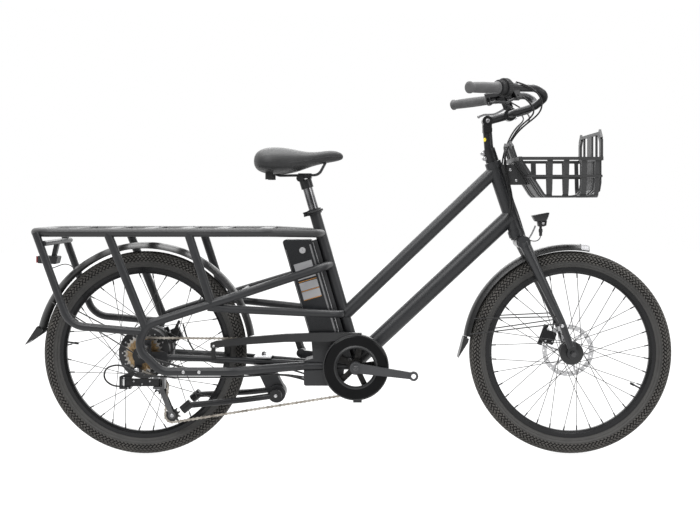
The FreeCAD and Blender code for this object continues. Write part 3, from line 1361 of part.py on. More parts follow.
def knuckle_plates(pivot, web_x, web_width):
    """The two lugs above and below a link's end, and the web that joins them."""
    x = pivot.x - 20 if web_x < pivot.x else pivot.x - 12
    top = Part.makeBox(*KNUCKLE_SIZE, Vector(x, -108, pivot.z + KNUCKLE_RISE))
    low = Part.makeBox(*KNUCKLE_SIZE, Vector(x, -108, pivot.z - KNUCKLE_DROP))
    height = KNUCKLE_RISE + KNUCKLE_DROP + KNUCKLE_SIZE[2]
    web = Part.makeBox(web_width, 24, height, Vector(web_x, -108, pivot.z - KNUCKLE_DROP))
    pin = rod_shape(lift(pivot, z=-18), lift(pivot, z=18), 3)
    return [top, low, web, pin]


def make_derailleur():
    """Body on the hanger, parallelogram link, and the cage with its two pulleys."""
    mount = rod_shape(Vector(-631, -82.2, 268), Vector(-631, -106, 268), 12)
    bolt = rod_shape(Vector(-631, -74, 268), Vector(-631, -84, 268), 4.9)
    arm = cover_plate([(-641, 266), (-634, 281), (-620, 272), (-646, 246), (-649, 243), (-682, 243),
                       (-682, 249)], -104, 18)
    lugs = knuckle_plates(LINK_START, LINK_START.x - 20, 8)
    body = mount.fuse([bolt, arm] + lugs).removeSplitter()
    keep(feature("derailleur_body", body), "derailleur_body")

    bar = Part.makeBox(LINK_END.x - LINK_START.x, 12, 22, lift(LINK_START, y=-102, z=-11))
    ends = [rod_shape(lift(p, z=-11), lift(p, z=11), 7.5) for p in (LINK_START, LINK_END)]
    link = bar.fuse(ends)
    for p in (LINK_START, LINK_END):
        link = link.cut(rod_shape(lift(p, z=-20), lift(p, z=20), 3 + dim("running_clearance")))
    keep(feature("derailleur_link", link.removeSplitter()), "derailleur_link")

    knuckle = rod_shape(lift(GUIDE, y=-92), lift(GUIDE, y=-56), 8)
    members = knuckle_plates(LINK_END, LINK_END.x + 15, 7) + [knuckle]
    angle = -math.degrees(CAGE_ANGLE)
    for y in (-57, -37):
        plate = Part.makeBox(CAGE_LENGTH, 2, 15, Vector(0, 0, -7.5))
        ends = [Part.makeCylinder(11, 2, Vector(x, 0, 0), Y_AXIS) for x in (0, CAGE_LENGTH)]
        plate = plate.fuse(ends)
        plate.Placement = Placement(lift(GUIDE, y=y), Rotation(Y_AXIS, angle))
        members.append(plate)
    for centre in (GUIDE, TENSION):
        members.append(rod_shape(lift(centre, y=-57), lift(centre, y=-33), 3))
    cage = members[0].fuse(members[1:]).removeSplitter()
    keep(feature("derailleur_cage", cage), "derailleur_cage")

    pins = chain_pins()
    for name, centre in (("guide_pulley", GUIDE), ("tension_pulley", TENSION)):
        teeth = int(dim("pulley_teeth"))
        bore = 3 + dim("running_clearance")
        wheel = sprocket(teeth, seat_phase(centre, pins, teeth), 2, bore, centre)
        hub = rod_shape(lift(centre, y=CHAIN_Y - 5), lift(centre, y=CHAIN_Y + 5), 6)
        hub = hub.cut(rod_shape(lift(centre, y=CHAIN_Y - 6), lift(centre, y=CHAIN_Y + 6), bore))
        keep(feature(name, wheel.fuse(hub).removeSplitter()), name)


def caliper_shape(axle, centre, inner_y, outer_y, rotor_y, lean):
    """A disc caliper: a rounded block with a slot for the disc, and its cable arm."""
    depth = outer_y - inner_y
    block_shape = Part.makeBox(42, depth, 40, Vector(-21, inner_y, -20))
    block_shape = block_shape.makeFillet(5, [e for e in block_shape.Edges if abs(e.Length - depth) < 0.1])
    ear_low = Part.makeBox(14, 8, 66, Vector(-24, outer_y - 8, -33))
    arm = rod_shape(Vector(4, outer_y - 6, 12), Vector(30, outer_y - 6, 34), 4.5)
    shape = block_shape.fuse([ear_low, arm])
    shape.rotate(Vector(), Y_AXIS, lean)
    shape.translate(centre)
    slot = Part.makeCylinder(dim("rotor_radius") + 2, 4.2, lift(axle, y=rotor_y - 1.2), Y_AXIS)
    return shape.cut(slot).removeSplitter()


def make_brakes():
    front = caliper_shape(FRONT_AXLE, Vector(617, 0, 352), 31, 49, FRONT_ROTOR_Y, 20)
    front = largest(front.cut(doc.getObject("fork").Shape))
    keep(feature("front_caliper", front), "front_caliper")
    rear = caliper_shape(REAR_AXLE, Vector(-543, 0, 356), 50, 72, REAR_ROTOR_Y, -24)
    rear = largest(rear.cut(doc.getObject("frame_bridges").Shape))
    keep(feature("rear_caliper", rear), "rear_caliper")


# ---------------------------------------------------------------- lights, basket and cables


def make_lights():
    """A wedge-shaped headlight on its stem from the crown, and the tail light on its bracket."""
    wedge = cover_plate([(560, 728), (613, 738), (604, 712), (571, 709)], -23, 46)
    wedge = wedge.makeFillet(2.5, [e for e in wedge.Edges if abs(e.Length - 46) < 0.1])
    lens_seat = cover_plate([(607, 735), (614, 737), (605, 714), (598, 712)], -20, 40)
    lens = lens_seat.common(wedge)
    base = cover_plate([(577, 713), (606, 713), (601, 696), (583, 694)], -15, 30)
    connector = Part.makeCylinder(4.5, 26, Vector(568, 0, 686), Vector(0.25, 0, 1))
    stem = sweep([Vector(540, 0, 650), Vector(594, 0, 664), Vector(592, 0, 700)], 4, 14)
    lamp = wedge.fuse([base, connector, stem]).cut([lens, doc.getObject("fork").Shape])
    keep(feature("headlight", Part.makeCompound([largest(lamp).removeSplitter(), lens])), "headlight")

    tail_profile = outline([(-948, 583), (-892, 580), (-886, 604), (-948, 606)])
    tail = padded_body("tail_body", "XZ_Plane", tail_profile, "50")
    round_edges(tail, "tail_corners", 4, lambda edge: abs(edge.Length - 50) < 0.1)
    lens = Part.makeBox(5, 42, 20, Vector(-953, -21, 584.5))
    bracket = cover_plate([(-911, 600), (-898, 600), (-886, 648), (-900, 648)], -9, 18)
    bracket = bracket.cut(doc.getObject("frame_bridges").Shape).cut(tail.Shape)
    members = [feature("tail_lens", lens), feature("tail_bracket", largest(bracket))]
    keep(group("tail_light", tail, *members), "tail_light")


# the basket's rear wall leans back, its front wall stands up and its sides flare a little
BASKET_BASE = 786
BASKET_MIDDLE = 846
BASKET_RIM = 897
BASKET_FRONT = 740
REAR_WALL = (Vector(575, 0, BASKET_BASE), Vector(503, 0, BASKET_RIM))
RIM_HALF = 186
BASE_HALF = 168
PANEL_TOP = 972


def bar_shape(start, end, width=7, depth=7):
    """A square bar between two points; its width lies across the bicycle's length."""
    along = end - start
    shape = Part.makeBox(width, depth, along.Length + 5, Vector(-width / 2, -depth / 2, -2.5))
    shape.Placement = Placement(start, Rotation(Z_AXIS, along))
    return shape


def strap_shape(outer, inner, y, width):
    """A flat strap, bent along an outline in the XZ plane and closed back along its inner face."""
    return cover_plate(outer + list(reversed(inner)), y - width / 2, width)


def long_strap(y, width):
    """One strap from the rim down the rear wall, under the load and up the front wall."""
    outer = [(503, 897), (571, 792), (580, 783), (700, 783), (724, 788), (739, 802), (743, 826), (743, 897)]
    inner = [(510, 897), (576, 795), (583, 789), (699, 789), (720, 793), (733, 805), (737, 827), (737, 897)]
    return strap_shape(outer, inner, y, width)


def cross_strap(x, width):
    """One strap from the rim down one side, under the load and up the other side."""
    half = [(RIM_HALF, BASKET_RIM), (BASE_HALF + 5, 806), (BASE_HALF - 4, 789), (BASE_HALF - 20, 783)]
    within = [(RIM_HALF - 6, BASKET_RIM), (BASE_HALF - 1, 808), (BASE_HALF - 8, 794), (BASE_HALF - 22, 789)]
    outer = half + [(-y, z) for y, z in reversed(half)]
    inner = within + [(-y, z) for y, z in reversed(within)]
    corners = [Vector(x - width / 2, y, z) for y, z in outer + list(reversed(inner))]
    return Part.Face(Part.makePolygon(corners + corners[:1])).extrude(Vector(width, 0, 0))


def basket_loop(z, half, width, depth):
    """A rail round all four walls at one height."""
    share = (z - BASKET_BASE) / (BASKET_RIM - BASKET_BASE)
    rear = REAR_WALL[0].x + (REAR_WALL[1].x - REAR_WALL[0].x) * share
    front = BASKET_FRONT
    corners = [Vector(x, y, z) for x, y in ((rear, -half), (front, -half), (front, half), (rear, half))]
    return [bar_shape(start, end, width, depth) for start, end in zip(corners, corners[1:] + corners[:1])]


def raised_panel(foot, top, half, centre_width, post_width):
    """Posts, a wide middle slat and a rounded top bar above the rim."""
    shoulder = foot + (top - foot) * 0.72
    parts = [bar_shape(lift(shoulder, y=-half), lift(top, y=24 - half), 7, post_width),
             bar_shape(lift(top, y=24 - half), lift(top, y=half - 24), 7, 9),
             bar_shape(lift(top, y=half - 24), lift(shoulder, y=half), 7, post_width),
             bar_shape(foot, top, 6, centre_width)]
    for side in (-1, 1):
        parts.append(bar_shape(lift(foot, y=side * half), lift(shoulder, y=side * half), 7, post_width))
        parts.append(bar_shape(lift(foot, y=side * half * 0.58), lift(top, y=side * half * 0.58), 6, 9))
    return parts


def make_basket():
    """A moulded basket of straps and rails with raised front and back panels, and its frame bracket."""
    bars = basket_loop(BASKET_RIM, RIM_HALF, 9, 11) + basket_loop(BASKET_MIDDLE, 177, 7, 7)
    bars += [long_strap(y, width) for y, width in
             ((-150, 34), (-96, 16), (-48, 16), (0, 70), (48, 16), (96, 16), (150, 34))]
    bars += [cross_strap(x, 16) for x in (590, 638, 690)]
    bars.append(cross_strap(728, 12))
    bars += raised_panel(Vector(BASKET_FRONT, 0, BASKET_RIM), Vector(BASKET_FRONT, 0, PANEL_TOP), 176, 74, 26)
    bars += raised_panel(Vector(503, 0, BASKET_RIM), Vector(487, 0, 944), 96, 40, 16)
    back_plate = cover_plate([(503, 890), (547, 822), (551, 825), (507, 893)], -34, 68)
    basket = bars[0].fuse(bars[1:] + [back_plate]).removeSplitter()
    bracket = cover_plate([(460, 884), (506, 884), (546, 822), (478, 822)], -13, 26)
    bracket = bracket.cut(basket).cut(doc.getObject("head_solid").Shape)
    keep(feature("basket", Part.makeCompound([largest(basket), largest(bracket)])), "basket")


def make_cables():
    """Cables held along the frame, and the ones that bend when the bars turn."""
    bridges = doc.getObject("frame_bridges").Shape
    dock = doc.getObject("battery_dock").Shape
    shift_route = [
        Vector(-128, -30, 236), Vector(-190, -62, 250), Vector(-262, -112, 254), Vector(-345, -160, 255.5),
        Vector(-440, -161, 255.5), Vector(-535, -160, 255.5), Vector(-610, -146, 262),
        Vector(-680, -128, 290),
        Vector(-722, -112, 276), Vector(-730, -104, 244), Vector(-708, -98, 222), Vector(-678, -96, 218),
    ]
    brake_route = [
        Vector(-128, 30, 236), Vector(-190, 62, 250), Vector(-262, 112, 254), Vector(-345, 160, 255.5),
        Vector(-400, 156, 254), Vector(-450, 134, 262), Vector(-488, 116, 292), Vector(-510, 92, 340),
        Vector(-518, 66, 388),
    ]
    lead_route = [
        Vector(-128, -18, 226), Vector(-190, -40, 246), Vector(-262, -84, 252), Vector(-330, -128, 262),
        Vector(-420, -132, 268), Vector(-500, -118, 280), Vector(-560, -104, 296), Vector(-612, -97, 309),
    ]
    shift = cable(shift_route, 2.6, [dock, bridges, doc.getObject("derailleur_body").Shape])
    brake = cable(brake_route, 2.6, [dock, bridges, doc.getObject("rear_caliper").Shape])
    lead = cable(lead_route, 3.2, [dock, bridges, doc.getObject("rear_axle").Shape])
    keep(feature("frame_cables", Part.makeCompound([shift, brake, lead])), "frame_cables")

    neighbours = ("handlebar", "stem_quill", "stem_arm", "head_tube", "lower_main_tube_outside",
                  "basket", "display")
    fixed = [doc.getObject(name).Shape for name in neighbours]
    routes = [
        [Vector(506, -186, 1080), Vector(560, -160, 1050), Vector(572, -96, 1018), Vector(528, -48, 978),
         Vector(484, -30, 936), Vector(468, -30, 890), Vector(478, -30, 836), Vector(492, -31, 784),
         Vector(492, -29, 738), Vector(474, -20, 700)],
        [Vector(490, -182, 1120), Vector(556, -168, 1110), Vector(602, -110, 1060), Vector(556, -40, 1000),
         Vector(492, -24, 950), Vector(475, -22, 904), Vector(484, -23, 846), Vector(499, -24, 790),
         Vector(500, -22, 744), Vector(482, -12, 706)],
        [Vector(506, 170, 1080), Vector(560, 150, 1050), Vector(572, 96, 1018), Vector(528, 48, 978),
         Vector(484, 30, 936), Vector(468, 30, 890), Vector(478, 30, 836), Vector(492, 31, 784),
         Vector(492, 29, 738), Vector(474, 20, 700)],
    ]
    strands = [cable(route, 2.5, fixed) for route in routes]
    front_brake_route = [
        Vector(516, 165, 1088), Vector(574, 150, 1060), Vector(590, 100, 1012), Vector(544, 40, 960),
        Vector(500, 24, 930), Vector(478, 22, 890), Vector(488, 23, 836), Vector(508, 26, 780),
        Vector(528, 40, 724), Vector(548, 68, 660), Vector(572, 80, 600), Vector(606, 80, 524),
        Vector(632, 76, 462), Vector(640, 62, 408), Vector(632, 44, 378),
    ]
    lower_ends = [doc.getObject(name).Shape for name in ("fork", "front_caliper")]
    hose = cable(front_brake_route, 2.5, fixed + lower_ends)
    keep(feature("front_cables", Part.makeCompound(strands + [hose])), "front_cables")


# ---------------------------------------------------------------- assembly


def write_parts():
    """Check every object, then write one file for each sub-part."""
    doc.recompute()
    for obj in doc.Objects:
        if {"Invalid", "Error"} & set(obj.State):
            raise RuntimeError(f"{obj.Name} did not build: {obj.State}")
    os.makedirs("parts", exist_ok=True)
    for obj in NODES:
        shape = obj.Shape
        if shape.isNull() or not shape.isValid() or not shape.Solids:
            raise RuntimeError(f"{obj.Label} has no valid solid")
        shape.exportStep(f"parts/{obj.Label}.step")
        print(f"{obj.Label}: {len(shape.Solids)} solids, {shape.Volume / 1000:.1f} cm3")


seat_outside, shell_solid = make_frame_tubes()
loop_solids, rear_solids = make_side_frame(seat_outside, shell_solid)
make_bridges(loop_solids, rear_solids, seat_outside, shell_solid)
make_wheels()
make_drive()
make_fork()
doc.recompute()
make_fenders()
make_bars()
make_seat()
make_battery(seat_outside, shell_solid)
make_stand()
make_derailleur()
make_brakes()
make_lights()
make_basket()
doc.recompute()
make_cables()
write_parts()
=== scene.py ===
"""Looks of the long-tail cargo bicycle: finishes for the metal and plastic parts, and modelled tyres,
saddle, grips, cables, lamps, battery details and small fittings. Metres; the CAD frame's own axes."""
import math

import bmesh
import bpy
from mathutils import Matrix, Vector


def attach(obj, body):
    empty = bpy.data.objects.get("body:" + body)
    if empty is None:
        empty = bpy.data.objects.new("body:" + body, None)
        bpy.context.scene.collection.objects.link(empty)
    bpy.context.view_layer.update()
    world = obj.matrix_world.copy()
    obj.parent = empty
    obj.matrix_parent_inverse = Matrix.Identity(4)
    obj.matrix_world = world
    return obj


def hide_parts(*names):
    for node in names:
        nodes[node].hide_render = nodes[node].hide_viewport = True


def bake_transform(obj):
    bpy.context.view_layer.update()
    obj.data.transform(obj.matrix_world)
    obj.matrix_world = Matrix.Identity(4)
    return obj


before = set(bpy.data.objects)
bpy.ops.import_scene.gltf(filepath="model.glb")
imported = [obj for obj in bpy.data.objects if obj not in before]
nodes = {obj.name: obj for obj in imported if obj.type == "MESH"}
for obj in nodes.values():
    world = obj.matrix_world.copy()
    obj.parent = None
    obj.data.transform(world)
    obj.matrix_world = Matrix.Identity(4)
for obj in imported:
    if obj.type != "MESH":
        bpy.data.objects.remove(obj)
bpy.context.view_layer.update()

X_AXIS = Vector((1, 0, 0))
Y_AXIS = Vector((0, 1, 0))
Z_AXIS = Vector((0, 0, 1))
FRONT_AXLE = Vector((0.678, 0, 0.310))
REAR_AXLE = Vector((-0.622, 0, 0.310))
BRACKET = Vector((0.022, 0, 0.272))


# ---------------------------------------------------------------- camera, light and floor


def make_camera():
    """A level camera to the bicycle's right, shifted to frame it low in the picture."""
    data = bpy.data.cameras.new("camera")
    data.sensor_width = 36
    data.lens = 62.9
    data.shift_x = -0.0257
    data.shift_y = -0.0893
    camera = bpy.data.objects.new("camera", data)
    camera.location = (0.0587, -3.75, 0.7757)
    camera.rotation_euler = (math.radians(90), 0, 0)
    bpy.context.scene.collection.objects.link(camera)
    bpy.context.scene.camera = camera


def area_light(name, place, target, width, height, power):
    data = bpy.data.lights.new(name, "AREA")
    data.shape = "RECTANGLE"
    data.size = width
    data.size_y = height
    data.energy = power
    light = bpy.data.objects.new(name, data)
    light.location = place
    light.rotation_euler = (Vector(target) - Vector(place)).to_track_quat("-Z", "Y").to_euler()
    bpy.context.scene.collection.objects.link(light)


def make_studio():
    """A pale seamless floor, an even pale sky and large soft lights."""
    mesh = bpy.data.meshes.new("floor")
    size = 14
    corners = [(-size, -size, 0), (size, -size, 0), (size, size, 0), (-size, size, 0)]
    mesh.from_pydata(corners, [], [(0, 1, 2, 3)])
    floor = bpy.data.objects.new("floor", mesh)
    bpy.context.scene.collection.objects.link(floor)
    paint = bpy.data.materials.new("floor_paint")
    paint.use_nodes = True
    shader = paint.node_tree.nodes["Principled BSDF"]
    shader.inputs["Base Color"].default_value = (0.10, 0.10, 0.10, 1)
    shader.inputs["Roughness"].default_value = 0.9
    shader.inputs["Emission Color"].default_value = (1, 1, 1, 1)
    shader.inputs["Emission Strength"].default_value = 0.93
    mesh.materials.append(paint)
    make_sky()
    bpy.context.scene.view_settings.view_transform = "Standard"
    area_light("key", (-1.5, -2.9, 3.5), (0, 0, 0.5), 2.6, 1.6, 95)
    area_light("fill", (3.4, -2.4, 2.2), (0.2, 0, 0.5), 1.6, 2.0, 40)
    area_light("top", (0, 0.5, 3.6), (0, 0, 0.4), 4.0, 1.6, 110)
    area_light("back", (0.4, 3.4, 2.4), (0, 0, 0.5), 4.0, 2.0, 60)


def make_sky():
    """A white sky behind and above that darkens on the viewer's side, as a studio with one open end."""
    world = bpy.data.worlds.new("studio")
    world.use_nodes = True
    tree = world.node_tree
    way = tree.nodes.new("ShaderNodeTexCoord")
    parts = tree.nodes.new("ShaderNodeSeparateXYZ")
    tree.links.new(way.outputs["Generated"], parts.inputs["Vector"])
    shares = []
    for axis, low, high, dim, bright in (("Y", -0.45, 0.25, 0.10, 1.0), ("Z", 0.15, 0.9, 0.0, 1.35)):
        share = tree.nodes.new("ShaderNodeMapRange")
        for name, value in (("From Min", low), ("From Max", high), ("To Min", dim), ("To Max", bright)):
            share.inputs[name].default_value = value
        tree.links.new(parts.outputs[axis], share.inputs["Value"])
        shares.append(share.outputs["Result"])
    total = tree.nodes.new("ShaderNodeMath")
    total.operation = "ADD"
    tree.links.new(shares[0], total.inputs[0])
    tree.links.new(shares[1], total.inputs[1])
    background = tree.nodes["Background"]
    background.inputs["Color"].default_value = (1, 1, 1, 1)
    tree.links.new(total.outputs["Value"], background.inputs["Strength"])
    bpy.context.scene.world = world


# ---------------------------------------------------------------- materials


class Graph:
    """Short ways to add and join the nodes of one material."""

    def __init__(self, name):
        self.material = bpy.data.materials.new(name)
        self.material.use_nodes = True
        self.tree = self.material.node_tree
        self.shader = self.tree.nodes["Principled BSDF"]
        self.place = self.add("ShaderNodeTexCoord").outputs["Object"]

    def add(self, kind, **values):
        node = self.tree.nodes.new(kind)
        for key, value in values.items():
            setattr(node, key, value)
        return node

    def link(self, source, target):
        self.tree.links.new(source, target)

    def stretched(self, scale):
        mapping = self.add("ShaderNodeMapping")
        mapping.inputs["Scale"].default_value = scale
        self.link(self.place, mapping.inputs["Vector"])
        return mapping.outputs["Vector"]

    def noise(self, scale, detail=3.0, vector=None, roughness=0.55):
        node = self.add("ShaderNodeTexNoise")
        node.inputs["Scale"].default_value = scale
        node.inputs["Detail"].default_value = detail
        node.inputs["Roughness"].default_value = roughness
        self.link(vector or self.place, node.inputs["Vector"])
        return node.outputs["Fac"]

    def cells(self, scale, feature="F1"):
        node = self.add("ShaderNodeTexVoronoi", feature=feature)
        node.inputs["Scale"].default_value = scale
        self.link(self.place, node.inputs["Vector"])
        return node.outputs["Distance"]

    def ramp(self, source, low, high):
        node = self.add("ShaderNodeMapRange")
        node.inputs["From Min"].default_value = 0.3
        node.inputs["From Max"].default_value = 0.7
        node.inputs["To Min"].default_value = low
        node.inputs["To Max"].default_value = high
        self.link(source, node.inputs["Value"])
        return node.outputs["Result"]

    def colours(self, source, *stops):
        """Each stop is (position, (r, g, b))."""
        node = self.add("ShaderNodeValToRGB")
        elements = node.color_ramp.elements
        while len(elements) < len(stops):
            elements.new(0.5)
        for element, (position, colour) in zip(elements, stops):
            element.position = position
            element.color = (*colour, 1)
        self.link(source, node.inputs["Fac"])
        return node.outputs["Color"]

    def bump(self, source, depth, strength=1.0, under=None):
        node = self.add("ShaderNodeBump")
        node.inputs["Strength"].default_value = strength
        node.inputs["Distance"].default_value = depth
        self.link(source, node.inputs["Height"])
        if under is not None:
            self.link(under, node.inputs["Normal"])
        return node.outputs["Normal"]

    def wire(self, colour=None, roughness=None, normal=None):
        if colour is not None:
            self.link(colour, self.shader.inputs["Base Color"])
        if roughness is not None:
            self.link(roughness, self.shader.inputs["Roughness"])
        if normal is not None:
            self.link(normal, self.shader.inputs["Normal"])
        return self.material

    def fixed(self, **values):
        for key, value in values.items():
            self.shader.inputs[key.replace("_", " ")].default_value = value


def coated(name, dark, light, rough, grain=700.0, depth=0.000004, coat=0.0, shine=0.5):
    """Powder coat or paint: a fine orange peel, slow tone changes and a little uneven gloss."""
    g = Graph(name)
    slow = g.noise(9.0, 4.0)
    fine = g.noise(grain, 2.0)
    g.fixed(Metallic=0.0, Specular_IOR_Level=shine, Coat_Weight=coat, Coat_Roughness=0.12)
    return g.wire(g.colours(slow, (0.3, dark), (0.7, light)), g.ramp(slow, rough - 0.04, rough + 0.05),
                  g.bump(fine, depth))


def moulded(name, dark, light, rough, grain=1400.0, depth=0.00012, coat=0.0, shine=0.5):
    """Moulded plastic with a spark-eroded grain."""
    g = Graph(name)
    slow = g.noise(14.0, 3.0)
    grains = g.cells(grain)
    fine = g.noise(grain * 0.6, 2.0)
    g.fixed(Specular_IOR_Level=shine, Coat_Weight=coat, Coat_Roughness=0.08)
    return g.wire(g.colours(slow, (0.25, dark), (0.75, light)), g.ramp(fine, rough - 0.05, rough + 0.06),
                  g.bump(fine, depth, 0.6, g.bump(grains, depth, 0.5)))


def brushed(name, dark, light, rough, stretch=(60, 900, 900), metallic=1.0):
    """Metal with fine machining lines along X."""
    g = Graph(name)
    lines = g.noise(1.0, 3.0, g.stretched(stretch))
    slow = g.noise(18.0, 3.0)
    g.fixed(Metallic=metallic)
    return g.wire(g.colours(slow, (0.3, dark), (0.7, light)), g.ramp(lines, rough - 0.08, rough + 0.1),
                  g.bump(lines, 0.00004))


def oiled(name, dark, light, stain):
    """Bare drive metal with oil and dust in its hollows."""
    g = Graph(name)
    slow = g.noise(60.0, 5.0)
    fine = g.noise(700.0, 3.0)
    g.fixed(Metallic=0.9)
    return g.wire(g.colours(slow, (0.28, stain), (0.45, dark), (0.75, light)), g.ramp(slow, 0.45, 0.25),
                  g.bump(fine, 0.00005))


def rubber(name, dark, light, rough=0.8, depth=0.0002, dust=None):
    """Matt rubber, dusty on its raised parts."""
    g = Graph(name)
    slow = g.noise(26.0, 6.0, roughness=0.65)
    fine = g.noise(1100.0, 3.0)
    g.fixed(Specular_IOR_Level=0.35)
    stops = [(0.3, dark), (0.62, light)] + ([(0.8, dust)] if dust else [])
    return g.wire(g.colours(slow, *stops), g.ramp(slow, rough - 0.08, min(0.98, rough + 0.1)),
                  g.bump(fine, depth))


def leather(name, dark, light):
    """Synthetic leather: small pebbles with creases between them."""
    g = Graph(name)
    pebbles = g.cells(1300.0)
    creases = g.noise(420.0, 5.0, roughness=0.7)
    slow = g.noise(16.0, 4.0)
    g.fixed(Specular_IOR_Level=0.45)
    return g.wire(g.colours(slow, (0.3, dark), (0.7, light)), g.ramp(creases, 0.42, 0.6),
                  g.bump(pebbles, 0.00018, 0.7, g.bump(creases, 0.00015, 0.6)))


def lens(name, colour, rough, transmission, glow=0.0):
    """A clear moulded lens with shallow prisms."""
    g = Graph(name)
    prisms = g.cells(300.0)
    tint = g.noise(40.0, 2.0)
    g.fixed(Transmission_Weight=transmission, IOR=1.49, Emission_Strength=glow)
    deep = tuple(c * 0.75 for c in colour)
    return g.wire(g.colours(tint, (0.3, deep), (0.7, colour)), g.ramp(tint, rough, rough + 0.05),
                  g.bump(prisms, 0.0004, 0.6))


BLACK = coated("satin_black", (0.0125, 0.0130, 0.0145), (0.0175, 0.0182, 0.0200), 0.40, shine=0.42)
DECK = coated("deck_black", (0.014, 0.0142, 0.015), (0.021, 0.0212, 0.022), 0.44, 600.0, 0.00012)
FORK = coated("fork_black", (0.0135, 0.0140, 0.0155), (0.0190, 0.0197, 0.0215), 0.26)
PLASTIC = moulded("moulded_black", (0.0105, 0.0108, 0.0115), (0.0155, 0.0158, 0.0168), 0.46)
BASKET = moulded("basket_black", (0.022, 0.0222, 0.023), (0.030, 0.0303, 0.0312), 0.50, 900.0)
CASE = moulded("battery_black", (0.0085, 0.0092, 0.0108), (0.0125, 0.0135, 0.0155), 0.30, 1100.0, 0.00006,
              shine=0.35)
CONTROL_BOX = moulded("box_black", (0.0125, 0.0130, 0.0145), (0.0180, 0.0187, 0.0205), 0.50)
GLOSS = moulded("gloss_black", (0.0030, 0.0031, 0.0034), (0.0048, 0.0049, 0.0054), 0.16, 300.0, 0.00003,
               shine=0.10)
FENDER = moulded("fender_black", (0.0070, 0.0070, 0.0072), (0.0105, 0.0105, 0.0108), 0.34, 500.0, 0.00004)
RIM = coated("rim_black", (0.0075, 0.0077, 0.0082), (0.0115, 0.0117, 0.0125), 0.26, 500.0, 0.00001, shine=0.3)
HUB = coated("hub_black", (0.0085, 0.0087, 0.0092), (0.0135, 0.0137, 0.0145), 0.32, 500.0, 0.00005)
ANODISED = brushed("anodised_black", (0.012, 0.0122, 0.013), (0.022, 0.0223, 0.0235), 0.32, metallic=0.5)
FORGED = coated("forged_black", (0.029, 0.0296, 0.0320), (0.040, 0.0408, 0.0440), 0.30, 700.0, 0.00003)
ALLOY = brushed("bare_alloy", (0.50, 0.50, 0.51), (0.68, 0.68, 0.69), 0.30)
STEEL = brushed("bare_steel", (0.42, 0.42, 0.43), (0.60, 0.60, 0.61), 0.32)
DARK_STEEL = brushed("zinc_black", (0.07, 0.07, 0.072), (0.13, 0.13, 0.133), 0.34)
CAGE = brushed("cage_alloy", (0.075, 0.075, 0.077), (0.15, 0.15, 0.153), 0.32)
SATIN = brushed("satin_alloy", (0.20, 0.20, 0.205), (0.30, 0.30, 0.305), 0.38)
ROTOR = brushed("disc_steel", (0.52, 0.52, 0.53), (0.70, 0.70, 0.71), 0.36, (300, 300, 300), 0.35)
SPOKE = coated("spoke_black", (0.020, 0.020, 0.021), (0.032, 0.032, 0.033), 0.42, 900.0, 0.00002)
CHROME = brushed("plated_post", (0.10, 0.10, 0.105), (0.20, 0.20, 0.205), 0.20, (900, 900, 60))
CHAIN = oiled("oiled_chain", (0.34, 0.31, 0.27), (0.58, 0.55, 0.50), (0.10, 0.085, 0.07))
COGS = oiled("plated_cogs", (0.30, 0.20, 0.10), (0.52, 0.39, 0.24), (0.05, 0.038, 0.028))
COG_STEEL = oiled("cog_steel", (0.32, 0.31, 0.30), (0.55, 0.54, 0.52), (0.08, 0.075, 0.07))
DARK_DRIVE = oiled("dark_drive", (0.018, 0.0175, 0.017), (0.034, 0.033, 0.032), (0.010, 0.010, 0.010))
TREAD = rubber("tread_rubber", (0.062, 0.0595, 0.0560), (0.092, 0.0875, 0.0815), 0.86, 0.00025,
               (0.135, 0.125, 0.110))
# Painted shade: near-black rubber for the carcass between the tread blocks, much darker than the blocks' own
# rubber, standing in for the shade in the grooves.
PAINTED_GROOVE_SHADE = rubber("groove_painted_shade", (0.0060, 0.0058, 0.0056), (0.0100, 0.0097, 0.0093), 0.92, 0.0001)
SIDEWALL = rubber("sidewall_rubber", (0.048, 0.0470, 0.0455), (0.066, 0.0645, 0.0620), 0.64, 0.00012)
GRIP = rubber("grip_rubber", (0.062, 0.062, 0.0625), (0.090, 0.090, 0.091), 0.58, 0.00015)
SOFT_BLACK = rubber("soft_black", (0.010, 0.010, 0.0102), (0.016, 0.016, 0.0163), 0.60, 0.0001)
HOUSING = rubber("cable_housing", (0.009, 0.009, 0.0095), (0.015, 0.015, 0.0155), 0.36, 0.00004)
COVER = leather("saddle_cover", (0.0105, 0.0106, 0.0112), (0.0170, 0.0172, 0.0180))
CLEAR_LENS = lens("clear_lens", (0.85, 0.87, 0.90), 0.06, 0.85)
RED_LENS = lens("red_lens", (0.30, 0.006, 0.008), 0.12, 0.25)
AMBER_LENS = lens("amber_lens", (0.80, 0.22, 0.02), 0.14, 0.2)
SCREEN = lens("screen_glass", (0.17, 0.21, 0.20), 0.12, 0.0)
YELLOW = moulded("yellow_mark", (0.70, 0.55, 0.03), (0.80, 0.65, 0.05), 0.45)
AMBER_MARK = moulded("amber_mark", (0.50, 0.20, 0.02), (0.60, 0.26, 0.03), 0.45)
LABEL = moulded("plain_label", (0.30, 0.30, 0.31), (0.36, 0.36, 0.37), 0.38, 200.0, 0.00002)

